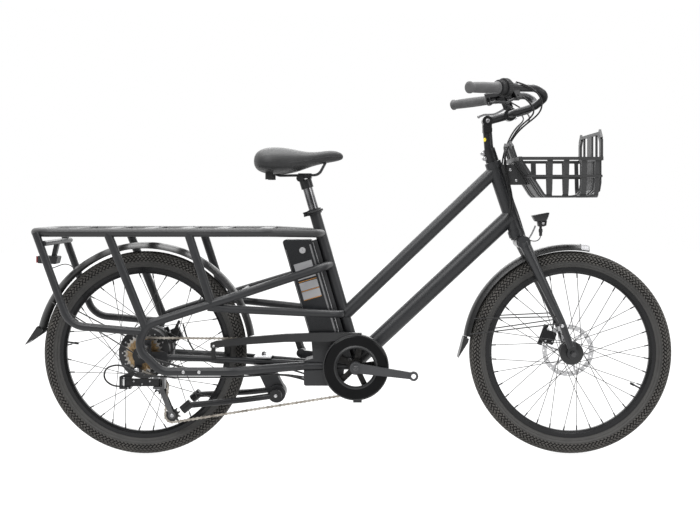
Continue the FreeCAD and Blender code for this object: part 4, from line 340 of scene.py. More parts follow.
FINISHES = {
    BLACK: ["head_tube", "seat_tube", "lower_main_tube", "upper_main_tube", "side_loops", "rack_stays",
            "frame_bridges"],
    FORK: ["fork"],
    DECK: ["rack_deck"],
    PLASTIC: ["tail_light", "display", "twist_shifter", "left_pedal", "guide_pulley",
              "tension_pulley", "chain_guard", "button_up", "button_power", "button_down"],
    BASKET: ["basket"],
    CASE: ["battery_case"],
    CONTROL_BOX: ["battery_dock"],
    FENDER: ["front_fender", "rear_fender"],
    RIM: ["front_rim", "rear_rim"],
    HUB: ["hub_motor", "front_hub"],
    ANODISED: ["headset_bearings", "stem_quill", "stem_arm", "handlebar", "brake_lever_right",
               "seat_clamp_lever", "kickstand", "front_caliper", "rear_caliper",
               "derailleur_body", "derailleur_link", "saddle_rails"],
    CAGE: ["derailleur_cage"],
    FORGED: ["crank_arms", "bottom_bracket"],
    DARK_STEEL: ["front_axle", "rear_axle"],
    SATIN: ["brake_lever_left"],
    ALLOY: ["battery_lock"],
    SPOKE: ["front_spokes", "rear_spokes"],
    CHROME: ["seatpost"],
    CHAIN: ["chain"],
    COGS: ["freewheel"],
    DARK_DRIVE: ["chainring"],
    SIDEWALL: ["front_tyre", "rear_tyre"],
    GRIP: ["grips"],
    HOUSING: ["frame_cables", "front_cables"],
    COVER: ["saddle"],
}
# second finishes: node, material, lowest and highest corner of what takes it
PAINTED = [
    ("front_hub", ROTOR, (0.59, 0.0375, 0.22), (0.77, 0.0402, 0.40)),
    ("hub_motor", ROTOR, (-0.71, 0.0575, 0.22), (-0.53, 0.0602, 0.40)),
    ("freewheel", COG_STEEL, (-0.70, -0.0425, 0.24), (-0.55, -0.0395, 0.38)),
    ("tail_light", RED_LENS, (-0.9535, -0.0212, 0.584), (-0.9475, 0.0212, 0.605)),
    ("saddle_rails", SOFT_BLACK, (-0.253, -0.063, 0.837), (-0.227, 0.063, 0.886)),
    ("chain_guard", GLOSS, (-0.0790, -0.0760, 0.1710), (0.1230, -0.0600, 0.3730)),
    ("frame_bridges", ALLOY, (-0.287, -0.057, 0.2972), (-0.233, 0.057, 0.3030)),
    ("crank_arms", ALLOY, (0.1877, -0.0935, 0.2402), (0.2030, -0.0780, 0.2556)),
    ("left_pedal", AMBER_LENS, (-0.1400, 0.1178, 0.2480), (-0.1280, 0.1582, 0.2560)),
    ("left_pedal", AMBER_LENS, (-0.1760, 0.1178, 0.3370), (-0.1600, 0.1582, 0.3420)),
]
SHARP_NODES = ("basket", "battery_case", "battery_dock", "display", "crank_arms", "chain_guard", "rack_deck",
               "stem_quill", "stem_arm", "front_caliper", "rear_caliper", "derailleur_body", "derailleur_link",
               "derailleur_cage", "frame_bridges", "tail_light", "headlight", "left_pedal", "kickstand")


def paint(data, material, low, high):
    """Give a second finish to the faces whose corners all lie in a box."""
    data.materials.append(material)
    index = len(data.materials) - 1
    inside = [all(a <= v <= b for a, v, b in zip(low, vert.co, high)) for vert in data.vertices]
    for face in data.polygons:
        if all(inside[k] for k in face.vertices):
            face.material_index = index


def dress_nodes():
    """Give the carried-over CAD nodes their finishes, and the sharp ones slightly rounded edges."""
    for material, names in FINISHES.items():
        for name in names:
            data = nodes[name].data
            data.materials.clear()
            data.materials.append(material)
    for name, material, low, high in PAINTED:
        paint(nodes[name].data, material, low, high)
    for name in SHARP_NODES:
        bevel = nodes[name].modifiers.new("rounded", "BEVEL")
        bevel.width = 0.0006
        bevel.segments = 2
        bevel.limit_method = "ANGLE"
        bevel.angle_limit = math.radians(38)


# ---------------------------------------------------------------- mesh helpers


def add_piece(name, mesh, material, body, smooth_angle=35.0):
    """Link a mesh as a piece of the object that moves with a body."""
    piece = bpy.data.objects.new(name, mesh)
    bpy.context.scene.collection.objects.link(piece)
    for item in material if isinstance(material, (list, tuple)) else [material]:
        mesh.materials.append(item)
    if smooth_angle:
        mesh.shade_smooth()
        mesh.set_sharp_from_angle(angle=math.radians(smooth_angle))
    if body:
        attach(piece, body)
    return piece


def finish_mesh(bm, name):
    bmesh.ops.recalc_face_normals(bm, faces=bm.faces)
    mesh = bpy.data.meshes.new(name)
    bm.to_mesh(mesh)
    bm.free()
    return mesh


def frame_for(direction, hint=Z_AXIS):
    """A rotation whose Z points along direction."""
    z = Vector(direction).normalized()
    if abs(z.dot(hint)) > 0.98:
        hint = X_AXIS
    x = hint.cross(z).normalized()
    y = z.cross(x)
    return Matrix((x, y, z)).transposed().to_4x4()


def lathe(bm, profile, place, axis, segments=48, material=0, turn=0.0):
    """Turn (radius, height) pairs about an axis; equal ends close the loop, others are capped."""
    spin = Matrix.Translation(place) @ frame_for(axis)
    rings = []
    for radius, height in profile:
        ring = []
        for index in range(segments):
            angle = 2 * math.pi * index / segments + turn
            point = Vector((radius * math.cos(angle), radius * math.sin(angle), height))
            ring.append(bm.verts.new(spin @ point))
        rings.append(ring)
    closed = profile[0] == profile[-1]
    if closed:
        for vert in rings.pop():
            bm.verts.remove(vert)
    pairs = list(zip(rings, rings[1:])) + ([(rings[-1], rings[0])] if closed else [])
    for low, high in pairs:
        for index in range(segments):
            after = (index + 1) % segments
            face = bm.faces.new((low[index], low[after], high[after], high[index]))
            face.material_index = material
    if not closed:
        bm.faces.new(list(reversed(rings[0]))).material_index = material
        bm.faces.new(rings[-1]).material_index = material


def bolt_head(bm, place, direction, radius=0.0035, height=0.0025, material=0):
    """A domed button head with a round socket."""
    profile = [(radius, 0), (radius * 0.98, height * 0.35), (radius * 0.75, height * 0.85),
               (radius * 0.5, height), (radius * 0.46, height * 0.96), (radius * 0.44, height * 0.45)]
    lathe(bm, profile, place, direction, 24, material)


def hex_nut(bm, place, direction, across, height, material=0):
    """A hexagon nut with chamfered corners and a round end of thread."""
    profile = [(across * 0.94, 0), (across, height * 0.12), (across, height * 0.85), (across * 0.9, height)]
    lathe(bm, profile, place, direction, 6, material)
    lathe(bm, [(across * 0.52, height * 0.9), (across * 0.52, height * 1.25), (across * 0.44, height * 1.35)],
          place, direction, 20, material)


def smooth_line(points, radius, name, sides=12, steps=10):
    """A closed-ended mesh tube along one smooth NURBS line."""
    curve = bpy.data.curves.new(name, "CURVE")
    curve.dimensions = "3D"
    spline = curve.splines.new("NURBS")
    spline.points.add(len(points) - 1)
    for point, place in zip(spline.points, points):
        point.co = (*place, 1)
    spline.order_u = 4 if len(points) > 3 else 3
    spline.use_endpoint_u = True
    curve.resolution_u = steps
    curve.bevel_depth = radius
    curve.bevel_resolution = sides // 4
    curve.use_fill_caps = True
    holder = bpy.data.objects.new(name, curve)
    bpy.context.scene.collection.objects.link(holder)
    bpy.context.view_layer.update()
    mesh = bpy.data.meshes.new_from_object(holder.evaluated_get(bpy.context.evaluated_depsgraph_get()))
    bpy.data.objects.remove(holder)
    mesh.name = name
    return mesh


# ---------------------------------------------------------------- tyres


TREAD_PITCHES = 150
CARCASS = [
    (0.2540, 0.0120), (0.2610, 0.0128), (0.2660, 0.0160), (0.2720, 0.0212), (0.2790, 0.0254), (0.2860, 0.0268),
    (0.2925, 0.0256), (0.2975, 0.0226), (0.3010, 0.0184), (0.3035, 0.0128), (0.3048, 0.0066), (0.3052, 0.0),
]
# blocks: distance from the crown, half reach across, share of a pitch, start in the pitch, height, skew
TREAD_ROWS = (
    (0.0000, 0.0032, 0.56, 0.00, 0.0042, 0.0),
    (0.0076, 0.0031, 0.62, 0.50, 0.0042, 0.50),
    (0.0150, 0.0031, 0.62, 0.05, 0.0040, -0.50),
    (0.0224, 0.0031, 0.60, 0.55, 0.0038, 0.50),
    (0.0298, 0.0029, 0.60, 0.10, 0.0037, -0.45),
    (0.0368, 0.0027, 0.56, 0.60, 0.0033, 0.40),
    (0.0430, 0.0022, 0.48, 0.10, 0.0028, -0.30),
)


def tyre(name, centre, body, node):
    """A tyre with a smooth sidewall, two raised lines near the bead, and rows of tread blocks; the carcass
    between the blocks is painted near black as shade in the grooves.
    """
    bm = bmesh.new()
    outer = CARCASS + [(r, -w) for r, w in reversed(CARCASS[:-1])]
    inner = [(r - 0.004, w * 0.78) for r, w in reversed(outer[2:-2])]
    loop = outer + [(0.2560, -0.0080)] + inner + [(0.2560, 0.0080)]
    lathe(bm, loop + loop[:1], centre, Y_AXIS, 216)
    # Painted shade: the carcass faces in the tread band take the near-black third material, as shade between
    # the blocks.
    for face in bm.faces:
        middle = face.calc_center_median() - centre
        if math.hypot(middle.x, middle.z) > 0.2790:
            face.material_index = 2
    for side in (-1, 1):
        for radius, width, reach in ((0.2685, 0.0187, 0.0010), (0.2752, 0.0238, 0.0009)):
            ridge = [(radius - 0.0011, side * (width - 0.0012)), (radius, side * (width + reach)),
                     (radius + 0.0011, side * (width + 0.0008)), (radius, side * (width - 0.0020))]
            lathe(bm, ridge + ridge[:1], centre, Y_AXIS, 216)
    step = 2 * math.pi / TREAD_PITCHES
    for index in range(TREAD_PITCHES):
        for distance, half, share, phase, height, skew in TREAD_ROWS:
            for side in ((1,) if distance == 0 else (-1, 1)):
                middle = (index + phase + (0.5 if side < 0 else 0)) * step
                add_block(bm, centre, side, distance, half, middle, step * share / 2, height, skew * step)
    piece = add_piece(name, finish_mesh(bm, name), [SIDEWALL, TREAD, PAINTED_GROOVE_SHADE], body, 32)
    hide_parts(node)


def carcass_at(distance):
    """The carcass (radius, width) and its outward direction, at a distance round from the crown."""
    rows = list(reversed(CARCASS))
    remaining = abs(distance)
    for (r_low, w_low), (r_high, w_high) in zip(rows, rows[1:]):
        step = math.hypot(r_high - r_low, w_high - w_low)
        if remaining <= step:
            break
        remaining -= step
    share = remaining / step
    away = ((w_high - w_low) / step, (r_low - r_high) / step)
    sign = math.copysign(1, distance)
    return (r_low + (r_high - r_low) * share, sign * (w_low + (w_high - w_low) * share),
            away[0], sign * away[1])


def add_block(bm, centre, side, distance, half, middle, reach, height, skew):
    """One tread block that stands square on the carcass and narrows towards its top."""
    rings = []
    for share, raised in ((1.0, -0.0008), (0.97, height * 0.7), (0.82, height)):
        ring = []
        for along, across in ((-1, -1), (1, -1), (1, 1), (-1, 1)):
            radius, width, out_r, out_w = carcass_at(side * (distance + across * half * share))
            radius = min(radius + out_r * raised, 0.3098)
            width = max(-0.0302, min(0.0302, width + out_w * raised))
            angle = middle + along * reach * share + across * skew * 0.5
            point = Vector((radius * math.cos(angle), width, radius * math.sin(angle)))
            ring.append(bm.verts.new(centre + point))
        rings.append(ring)
    for low, high in zip(rings, rings[1:]):
        for k in range(4):
            face = bm.faces.new((low[k], low[(k + 1) % 4], high[(k + 1) % 4], high[k]))
            face.material_index = 1
    bm.faces.new(rings[-1]).material_index = 1
    bm.faces.new(list(reversed(rings[0]))).material_index = 1


# ---------------------------------------------------------------- saddle and grips


SADDLE_ROWS = [
    # x, side height, top height, bottom height, half width
    (-0.2885, 0.893, 0.9040, 0.8840, 0.040), (-0.2830, 0.890, 0.9180, 0.8700, 0.074),
    (-0.2700, 0.886, 0.9300, 0.8610, 0.100), (-0.2480, 0.884, 0.9360, 0.8550, 0.1125),
    (-0.2220, 0.884, 0.9378, 0.8530, 0.1150), (-0.1960, 0.885, 0.9362, 0.8540, 0.1080),
    (-0.1700, 0.888, 0.9315, 0.8590, 0.0925), (-0.1440, 0.892, 0.9258, 0.8670, 0.0710),
    (-0.1200, 0.897, 0.9225, 0.8760, 0.0520), (-0.0960, 0.902, 0.9230, 0.8830, 0.0385),
    (-0.0720, 0.906, 0.9262, 0.8880, 0.0295), (-0.0480, 0.908, 0.9272, 0.8920, 0.0235),
    (-0.0300, 0.908, 0.9235, 0.8960, 0.0185), (-0.0200, 0.908, 0.9170, 0.9000, 0.0125),
    (-0.0175, 0.908, 0.9110, 0.9050, 0.0060),
]


def make_saddle():
    """A lofted cover with a pressure channel and a piped edge seam."""
    around = 40
    bm = bmesh.new()
    rings = []
    for x, side, top, bottom, half in SADDLE_ROWS:
        ring = []
        for k in range(around):
            angle = 2 * math.pi * k / around
            across = math.copysign(abs(math.cos(angle)) ** 0.72, math.cos(angle))
            up = math.sin(angle)
            z = side + (top - side) * up ** 0.85 if up >= 0 else side - (side - bottom) * (-up) ** 0.75
            inward = 1.0 if up >= 0 else 1.0 - 0.22 * (-up) ** 1.6
            y = half * across * inward
            if up > 0 and x > -0.26:
                groove = math.exp(-(y / (0.10 * half + 0.003)) ** 2)
                length = max(0.0, 1 - ((x + 0.165) / 0.085) ** 2)
                z -= 0.0065 * groove * length
            ring.append(bm.verts.new((x, y, z)))
        rings.append(ring)
    for low, high in zip(rings, rings[1:]):
        for k in range(around):
            bm.faces.new((low[k], low[(k + 1) % around], high[(k + 1) % around], high[k]))
    for ring in (rings[0], rings[-1]):
        bm.faces.new(ring if ring is rings[-1] else list(reversed(ring)))
    saddle = add_piece("saddle_cover", finish_mesh(bm, "saddle_cover"), COVER, "seat", 60)
    smooth = saddle.modifiers.new("smooth", "SUBSURF")
    smooth.levels = smooth.render_levels = 2
    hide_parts("saddle")
    for sign, name in ((1, "saddle_seam_left"), (-1, "saddle_seam_right")):
        line = [(x, sign * half * 0.985, side - 0.0005) for x, side, _, _, half in SADDLE_ROWS[1:-1]]
        seam = smooth_line(line, 0.0011, name, 8, 6)
        add_piece(name, seam, COVER, "seat", 60)


def grip(name, start, direction, length, ribs, body="bars"):
    """A grip with rings, a rounded end cap and an inner collar."""
    bm = bmesh.new()
    profile = [(0.0, -0.0030), (0.0085, -0.0030), (0.0145, -0.0022), (0.0172, 0.0006), (0.0174, 0.0050),
               (0.0160, 0.0075)]
    position = 0.012
    for index in range(ribs):
        share = index / max(1, ribs - 1)
        swell = 0.0150 + 0.0009 * math.sin(math.pi * share)
        profile += [(swell, position), (swell, position + 0.0028), (swell - 0.0007, position + 0.0034),
                    (swell - 0.0007, position + 0.0042)]
        position += (length - 0.024) / ribs
    profile += [(0.0155, length - 0.008), (0.0182, length - 0.0055), (0.0188, length - 0.0025),
                (0.0172, length - 0.0004), (0.0118, length - 0.0002)]
    lathe(bm, profile[1:], start, direction, 40)
    return add_piece(name, finish_mesh(bm, name), GRIP, body, 40)


BAR_END = Vector((0.342, -0.318, 1.092))
BAR_BEND = Vector((0.556, -0.125, 1.107))


def bar_point(distance, side=-1):
    point = BAR_END + (BAR_BEND - BAR_END).normalized() * distance
    return Vector((point.x, -side * point.y, point.z))


def bar_inward(side=-1):
    inward = (BAR_BEND - BAR_END).normalized()
    return Vector((inward.x, -side * inward.y, inward.z))


def make_grips():
    right = grip("grip_right", bar_point(0.0, -1), bar_inward(-1), 0.121, 18)
    left = grip("grip_left", bar_point(0.0, 1), bar_inward(1), 0.150, 24)
    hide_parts("grips")
    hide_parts("grips")


# ---------------------------------------------------------------- cables that bend


# routes in millimetres; the upper ones cut into the top of the basket's back panel, at rest and when steered
STRAND_UPPER = (
    [(506, -186, 1080), (548, -158, 1052), (556, -108, 1028), (524, -62, 1006), (498, -36, 972),
     (484, -30, 936)],
    [(490, -182, 1120), (552, -172, 1106), (590, -120, 1052), (552, -66, 1016), (502, -30, 978),
     (478, -22, 920)],
    [(506, 170, 1080), (548, 150, 1052), (556, 104, 1028), (524, 62, 1006), (498, 36, 972), (484, 30, 936)],
)
STRAND_LOWER = (
    [(484, -30, 936), (468, -30, 890), (478, -30, 836), (492, -31, 784), (492, -29, 738), (474, -20, 700)],
    [(478, -22, 920), (475, -22, 904), (484, -23, 846), (499, -24, 790), (500, -22, 744), (482, -12, 706)],
    [(484, 30, 936), (468, 30, 890), (478, 30, 836), (492, 31, 784), (492, 29, 738), (474, 20, 700)],
)
HOSE_UPPER = [
    (516, 165, 1088), (566, 148, 1060), (578, 104, 1026), (534, 56, 1000), (500, 30, 966), (481, 24, 925),
]
HOSE_MIDDLE = [(481, 24, 925), (478, 22, 890), (488, 23, 836), (508, 26, 770)]
HOSE_LOWER = [
    (508, 26, 770), (528, 40, 722), (548, 68, 660), (572, 80, 600), (606, 80, 524), (632, 76, 462),
    (640, 62, 408), (632, 44, 378),
]


def millimetres(points):
    return [Vector(point) / 1000 for point in points]


def cable(name, route):
    """One stretch of housing that bends between two bodies."""
    line = millimetres(route)
    overlap = (line[-1] - line[-2]).normalized() * 0.003
    mesh = smooth_line(line + [line[-1] + overlap], 0.0025, name)
    piece = add_piece(name, mesh, HOUSING, None, 60)
    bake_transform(piece)
    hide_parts("front_cables")


def make_cables():
    """Housings and the brake hose: they follow the bars, the frame at the head tube, and the fork."""
    for index, (upper, lower) in enumerate(zip(STRAND_UPPER, STRAND_LOWER)):
        cable(f"housing_upper_{index}", upper)
        cable(f"housing_lower_{index}", lower)
    cable("hose_upper", HOSE_UPPER)
    cable("hose_middle", HOSE_MIDDLE)
    cable("hose_lower", HOSE_LOWER)


# ---------------------------------------------------------------- fasteners and small fittings

RIGHT = -Y_AXIS
SEAT_UP = Vector((-0.27899, 0, 0.96029))
SEAT_BACK = Vector((-0.96029, 0, -0.27899))
SEAT_FOOT = Vector((0.0305, 0, 0.272))
STEER_UP = Vector((-0.31730, 0, 0.94832))
TENSION = Vector((-0.5334, 0, 0.1250))


def by_seat_tube(along, back, y):
    """A point by its distance up the seat tube, its distance behind it, and its Y."""
    point = SEAT_FOOT + SEAT_UP * along + SEAT_BACK * back
    return Vector((point.x, y, point.z))


def around(centre, radius, count, y, turn=0.0):
    """Points on a circle in the XZ plane."""
    angles = [2 * math.pi * (index + turn) / count for index in range(count)]
    return [Vector((centre.x + radius * math.cos(a), y, centre.z + radius * math.sin(a))) for a in angles]


def bolts(name, body, material, rows):
    """Button-head bolts in one piece; each row is (place, direction, radius, height)."""
    bm = bmesh.new()
    for place, direction, radius, height in rows:
        bolt_head(bm, Vector(place), direction, radius, height)
    add_piece(name, finish_mesh(bm, name), material, body, 30)


def nuts(name, body, material, rows):
    """Hexagon nuts in one piece; each row is (place, direction, corner radius, height)."""
    bm = bmesh.new()
    for place, direction, across, height in rows:
        hex_nut(bm, Vector(place), direction, across, height)
    add_piece(name, finish_mesh(bm, name), material, body, 30)


def make_fasteners():
    """Bolts, screws and nuts that show on the right side, the deck and the cockpit."""
    bolts("frame_bolts", "frame", ALLOY, [
        ((-0.482, -0.1722, 0.2718), RIGHT, 0.0050, 0.0030),
        ((-0.436, -0.1722, 0.2718), RIGHT, 0.0050, 0.0030),
        ((-0.4065, -0.0688, 0.3355), RIGHT, 0.0044, 0.0028), ((0.494, -0.0128, 0.868), RIGHT, 0.0050, 0.0026),
        ((0.512, -0.0128, 0.836), RIGHT, 0.0050, 0.0026),
    ])
    slats = [(front - 0.019, side * 0.136, 0.6908) for side in (-1, 1)
             for front in (-0.803, -0.693, -0.583, -0.473, -0.363, -0.230)]
    bolts("deck_bolts", "frame", DARK_STEEL, [(place, Z_AXIS, 0.0050, 0.0026) for place in slats])
    nuts("stand_nut", "frame", ALLOY, [((-0.260, 0, 0.3025), Z_AXIS, 0.0080, 0.0070)])
    bolts("stand_bolts", "stand", ALLOY, [((-0.219, side * 0.0779, 0.187), Y_AXIS * side, 0.0055, 0.0030)
                                          for side in (-1, 1)])
    bolts("motor_screws", "rear_wheel", ALLOY,
          [(place, RIGHT, 0.0024, 0.0014) for place in around(REAR_AXLE, 0.0650, 12, -0.0309)]
          + [(place, Y_AXIS, 0.0024, 0.0014) for place in around(REAR_AXLE, 0.0620, 12, 0.0478)])
    bolts("disc_bolts", "front_wheel", DARK_STEEL,
          [(place, Y_AXIS, 0.0034, 0.0018) for place in around(FRONT_AXLE, 0.0220, 6, 0.0397)])
    bolts("fork_bolts", "steering", ALLOY, [
        ((0.6440, -0.0680, 0.3960), RIGHT, 0.0052, 0.0030),
        ((0.6440, 0.0680, 0.3960), Y_AXIS, 0.0052, 0.0030),
        ((0.6160, 0.0312, 0.3760), RIGHT, 0.0042, 0.0030), ((0.6080, 0.0312, 0.3400), RIGHT, 0.0036, 0.0030),
        ((0.6290, 0.0312, 0.3370), RIGHT, 0.0036, 0.0030), ((0.5935, -0.0152, 0.7050), RIGHT, 0.0046, 0.0026),
    ])
    bolts("rear_brake_bolts", "frame", ALLOY, [
        ((-0.556, 0.0502, 0.366), RIGHT, 0.0036, 0.0026), ((-0.534, 0.0502, 0.350), RIGHT, 0.0036, 0.0026)])
    bolts("derailleur_bolts", "frame", STEEL, [
        ((-0.631, -0.1058, 0.268), RIGHT, 0.0080, 0.0036), ((-0.668, -0.1078, 0.2462), RIGHT, 0.0026, 0.0016),
        ((-0.656, -0.1078, 0.2160), RIGHT, 0.0026, 0.0016)])
    bolts("link_rivets", "shift_link", STEEL, [
        ((-0.640, -0.1018, 0.235), RIGHT, 0.0030, 0.0016), ((-0.615, -0.1018, 0.227), RIGHT, 0.0024, 0.0016),
        ((-0.592, -0.1018, 0.235), RIGHT, 0.0030, 0.0016)])
    bolts("cage_bolts", "shift_cage", STEEL, [
        ((TENSION.x, -0.0568, TENSION.z), RIGHT, 0.0058, 0.0024),
        ((-0.563, -0.1078, 0.2462), RIGHT, 0.0028, 0.0016),
        ((-0.569, -0.0918, 0.212), RIGHT, 0.0050, 0.0022)])
    bolts("crank_bolts", "crankset", DARK_STEEL, [((0.022, -0.0948, 0.272), RIGHT, 0.0075, 0.0020),
                                                  ((0.022, 0.0948, 0.272), Y_AXIS, 0.0075, 0.0020)])
    clamp = [((0.5115, side * 0.0135, z), X_AXIS, 0.0036, 0.0026)
             for side in (-1, 1) for z in (1.0260, 1.0460)]
    bolts("bar_clamp_bolts", "bars", STEEL, clamp)
    bolts("stem_bolts", "steering", SATIN, [((0.424, side * 0.0238, 1.017), Y_AXIS * side, 0.0066, 0.0024)
                                            for side in (-1, 1)])


def make_stem_clamp():
    """The stem's rear pinch clamp with its two bolts, and a round mark on the riser."""
    bm = bmesh.new()
    for height in (0.011, 0.028):
        centre = Vector((0.4406, 0, 0.8919)) + STEER_UP * height - X_AXIS * 0.0215
        barrel = [(0.0066, -0.013), (0.0072, -0.012), (0.0072, -0.0012), (0.0064, -0.0008), (0.0064, 0.0008),
                  (0.0072, 0.0012), (0.0072, 0.012), (0.0066, 0.013)]
        lathe(bm, barrel, centre, Y_AXIS, 24)
        bolt_head(bm, centre - Y_AXIS * 0.0128, RIGHT, 0.0046, 0.0034)
        hex_nut(bm, centre + Y_AXIS * 0.0128, Y_AXIS, 0.0050, 0.0036)
    add_piece("stem_pinch", finish_mesh(bm, "stem_pinch"), ALLOY, "steering", 30)
    bm = bmesh.new()
    around_riser(bm, Vector((0.4268, 0, 0.960)), 0.0143, 215, 27, 0.0065)
    add_piece("riser_mark", finish_mesh(bm, "riser_mark"), YELLOW, "steering", 40)


def around_riser(bm, centre, radius, middle, half_turn, half_height):
    """A thin oval plate curved round an upright tube; angles are in degrees from +X towards +Y."""
    rings = []
    for share in (0.001, 0.5, 0.85, 1.0):
        ring = []
        for k in range(24):
            angle = 2 * math.pi * k / 24
            turn = math.radians(middle + half_turn * share * math.cos(angle))
            lift = half_height * share * math.sin(angle)
            reach = radius + (0.0006 if share < 1 else -0.0006)
            ring.append(bm.verts.new(centre + Vector((reach * math.cos(turn), reach * math.sin(turn), lift))))
        rings.append(ring)
    for low, high in zip(rings, rings[1:]):
        for k in range(24):
            bm.faces.new((low[k], low[(k + 1) % 24], high[(k + 1) % 24], high[k]))
    bm.faces.new(rings[0])


def plate(bm, corners, thickness, direction, material=0):
    """A flat plate from its outline, given thickness along a direction, with softened edges."""
    direction = Vector(direction).normalized()
    middle = sum(corners, Vector()) / len(corners)
    rings = []
    for raised, inset in ((0.0, 0.0), (thickness * 0.6, 0.0), (thickness, thickness * 0.4)):
        ring = []
        for corner in corners:
            towards = middle - corner
            point = corner + direction * raised + towards.normalized() * min(inset, towards.length * 0.3)
            ring.append(bm.verts.new(point))
        rings.append(ring)
    count = len(corners)
    for low, high in zip(rings, rings[1:]):
        for k in range(count):
            after = (k + 1) % count
            bm.faces.new((low[k], low[after], high[after], high[k])).material_index = material
    bm.faces.new(list(reversed(rings[0]))).material_index = material
    bm.faces.new(rings[-1]).material_index = material


def seat_tube_rows(along, back, y):
    """Four corners of a strip beside the seat tube; along and back are (low, high)."""
    return [by_seat_tube(along[0], back[0], y), by_seat_tube(along[0], back[1], y),
            by_seat_tube(along[1], back[1], y), by_seat_tube(along[1], back[0], y)]


def make_battery_details():
    """Bright satin strips along the front and rear edges as painted highlight lines, plain labels and the
    lock's collar on the battery.
    """
    for side, name in ((-1, "right"), (1, "left")):
        away = Y_AXIS * side
        face = side * 0.0388
        bm = bmesh.new()
        # Painted highlights: bright satin-metal strips along the case's front and rear edges, standing in for
        # the light lines along those edges.
        plate(bm, seat_tube_rows((0.118, 0.396), (0.0365, 0.0415), face), 0.0012, away)
        plate(bm, seat_tube_rows((0.122, 0.400), (0.1135, 0.1150), face), 0.0012, away)
        add_piece(f"battery_highlight_strips_{name}", finish_mesh(bm, "strips"), SATIN, "battery", 30)
        bm = bmesh.new()
        plate(bm, seat_tube_rows((0.300, 0.350), (0.0480, 0.1040), face), 0.0006, away)
        plate(bm, seat_tube_rows((0.238, 0.262), (0.0480, 0.1040), face), 0.0006, away)
        plate(bm, seat_tube_rows((0.266, 0.290), (0.0480, 0.1040), face), 0.0006, away)
        for along in (0.236, 0.2632, 0.2925):
            plate(bm, seat_tube_rows((along, along + 0.0016), (0.0480, 0.1040), face), 0.0007, away, 1)
        add_piece(f"battery_labels_{name}", finish_mesh(bm, "labels"), [LABEL, AMBER_MARK], "battery", 30)
        bm = bmesh.new()
        plate(bm, seat_tube_rows((0.118, 0.400), (0.0285, 0.0302), side * 0.0239), 0.0014, away)
        add_piece(f"dock_strip_{name}", finish_mesh(bm, "strip"), ALLOY, "frame", 30)
    bm = bmesh.new()
    ring = [(0.0096, 0.0), (0.0096, 0.0022), (0.0118, 0.0022), (0.0128, 0.0008), (0.0128, 0.0), (0.0096, 0.0)]
    lathe(bm, ring, Vector((-0.140, -0.0388, 0.623)), RIGHT, 40)
    add_piece("lock_collar", finish_mesh(bm, "lock_collar"), PLASTIC, "battery", 30)


def make_fender_bracket():
    """The light bracket that wraps the front fender's tip."""
    bm = bmesh.new()
    rings = []
    for turn in (80.4, 84.6):
        for reach in (0.3318, 0.3334) if turn == 80.4 else (0.3334, 0.3318):
            ring = []
            for k in range(13):
                y = 0.0306 * (k - 6) / 6
                radius = reach - 0.017 * (y / 0.0306) ** 2
                angle = math.radians(turn)
                point = Vector((radius * math.cos(angle), y, radius * math.sin(angle)))
                ring.append(bm.verts.new(FRONT_AXLE + point))
            rings.append(ring)
    for low, high in zip(rings, rings[1:] + rings[:1]):
        for k in range(12):
            bm.faces.new((low[k], low[k + 1], high[k + 1], high[k]))
    for k in (0, 12):
        bm.faces.new([ring[k] for ring in rings])
    add_piece("fender_tip", finish_mesh(bm, "fender_tip"), SATIN, "steering", 30)


def make_screen():
    """The display's glass, set flush over its pocket."""
    inward = bar_inward(1)
    out = Vector((-0.45, -0.25, 0.86))
    out = (out - inward * out.dot(inward)).normalized()
    across = out.cross(inward)
    centre = bar_point(0.178, 1) + out * 0.024
    corners = [centre + inward * a + across * b + out * 0.0064
               for a, b in ((-0.0060, -0.0180), (0.0230, -0.0180), (0.0230, 0.0180), (-0.0060, 0.0180))]
    bm = bmesh.new()
    plate(bm, corners, 0.0006, out)
    add_piece("display_glass", finish_mesh(bm, "display_glass"), SCREEN, "bars", 30)


def make_shifter_ribs():
    """Fine ribs round the twist shifter."""
    axis = bar_inward(-1)
    turn = frame_for(axis)
    bm = bmesh.new()
    for index in range(28):
        angle = 2 * math.pi * index / 28
        outward = turn @ Vector((math.cos(angle), math.sin(angle), 0))
        side = axis.cross(outward) * 0.0013
        for low, high, radius in ((0.1235, 0.1410, 0.0217), (0.1436, 0.1585, 0.0267)):
            start = bar_point(low, -1) + outward * radius
            end = bar_point(high, -1) + outward * radius
            plate(bm, [start - side, end - side, end + side, start + side], 0.0014, outward)
    add_piece("shifter_ribs", finish_mesh(bm, "shifter_ribs"), SOFT_BLACK, "shifter", 30)


def make_tail_wire():
    route = millimetres([(-934, -8, 588), (-922, -8, 566), (-902, -8, 566), (-874, -8, 583), (-850, -8, 578),
                         (-839, -8, 564)])
    mesh = smooth_line(route, 0.0014, "tail_wire", 8, 8)
    add_piece("tail_wire", mesh, HOUSING, "frame", 60)


def prism(bm, outline, half_width, softness):
    """A block from an (x, z) outline in millimetres, with rounded edges."""
    sides = []
    for side in (-1, 1):
        sides.append([bm.verts.new(Vector((x, side * half_width, z)) / 1000) for x, z in outline])
    faces = [bm.faces.new(sides[0]), bm.faces.new(list(reversed(sides[1])))]
    count = len(outline)
    for k in range(count):
        after = (k + 1) % count
        faces.append(bm.faces.new((sides[0][k], sides[0][after], sides[1][after], sides[1][k])))
    bmesh.ops.recalc_face_normals(bm, faces=faces)
    edges = list({edge for face in faces for edge in face.edges})
    bmesh.ops.bevel(bm, geom=edges, offset=softness / 1000, segments=3, profile=0.5, affect="EDGES")


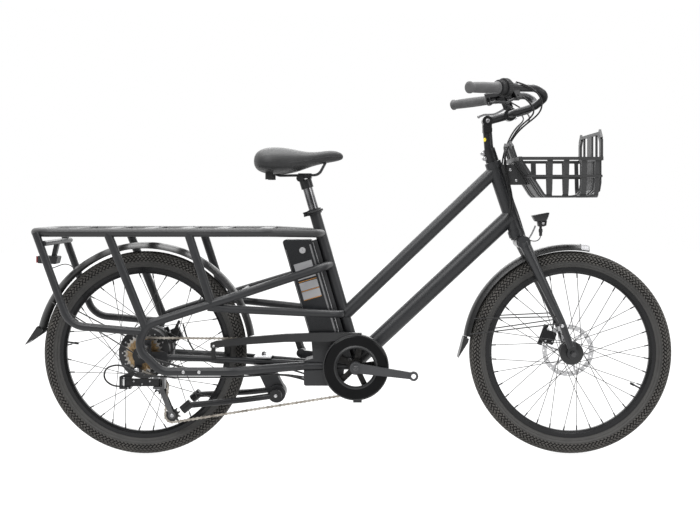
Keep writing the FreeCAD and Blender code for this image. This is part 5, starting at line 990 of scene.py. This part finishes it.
def make_headlight():
    """A wedge lamp with a clear lens, a base with cooling ribs, its plug, wire and bent bracket."""
    bm = bmesh.new()
    prism(bm, [(560.5, 728), (612.5, 737.5), (603.5, 712.5), (571, 709.5)], 22.5, 2.2)
    prism(bm, [(577, 713), (606, 713), (604, 698), (596, 694.5), (580, 694.5)], 14.5, 2.0)
    for x in (581, 586, 591, 596, 601):
        prism(bm, [(x, 710), (x + 2, 710), (x + 2, 697), (x, 697)], 15.8, 0.5)
    plug = [(0.0001, 0.0), (0.0042, 0.0), (0.0048, 0.001), (0.0048, 0.010), (0.0062, 0.012), (0.0062, 0.020),
            (0.0046, 0.022), (0.0040, 0.030), (0.0001, 0.030)]
    lathe(bm, plug, Vector((0.588, 0, 0.6655)), Z_AXIS, 24)
    lens = [Vector(corner) / 1000 for corner in ((611.4, -19, 734.4), (605.2, -19, 715.8), (605.2, 19, 715.8),
                                                 (611.4, 19, 734.4))]
    plate(bm, lens, 0.0012, Vector((0.949, 0, -0.316)), 1)
    lamp = add_piece("lamp", finish_mesh(bm, "lamp"), [PLASTIC, CLEAR_LENS], "steering", 30)
    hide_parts("headlight")
    bracket = smooth_line(millimetres([(541, 0, 650), (553, 0, 655), (562, 0, 672), (572, 0, 697)]), 0.0026,
                          "lamp_bracket", 12, 8)
    piece = add_piece("lamp_bracket", bracket, SATIN, "steering", 60)
    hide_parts("headlight")
    route = [(588, 0, 666), (586, 2, 655), (575, 6, 647), (560, 9, 650), (544, 10, 655)]
    wire = smooth_line(millimetres(route), 0.0015, "lamp_wire", 8, 8)
    piece = add_piece("lamp_wire", wire, HOUSING, "steering", 60)
    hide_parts("headlight")


def make_guard_beads():
    """Raised beads round the outer and inner edges of the chain guard's ring."""
    bm = bmesh.new()
    for radius in (0.0972, 0.0592):
        angles = [2 * math.pi * k / 12 for k in range(12)]
        bead = [(radius + 0.0022 * math.cos(angle), 0.0014 * math.sin(angle)) for angle in angles]
        lathe(bm, bead + bead[:1], Vector((BRACKET.x, -0.0722, BRACKET.z)), Y_AXIS, 120)
    add_piece("guard_beads", finish_mesh(bm, "guard_beads"), PLASTIC, "frame", 60)


make_camera()
make_studio()
dress_nodes()
tyre("front_tyre_tread", FRONT_AXLE, "front_wheel", "front_tyre")
tyre("rear_tyre_tread", REAR_AXLE, "rear_wheel", "rear_tyre")
make_saddle()
make_grips()
make_cables()
make_fasteners()
make_stem_clamp()
make_battery_details()
make_fender_bracket()
make_screen()
make_shifter_ribs()
make_tail_wire()
make_headlight()
make_guard_beads()
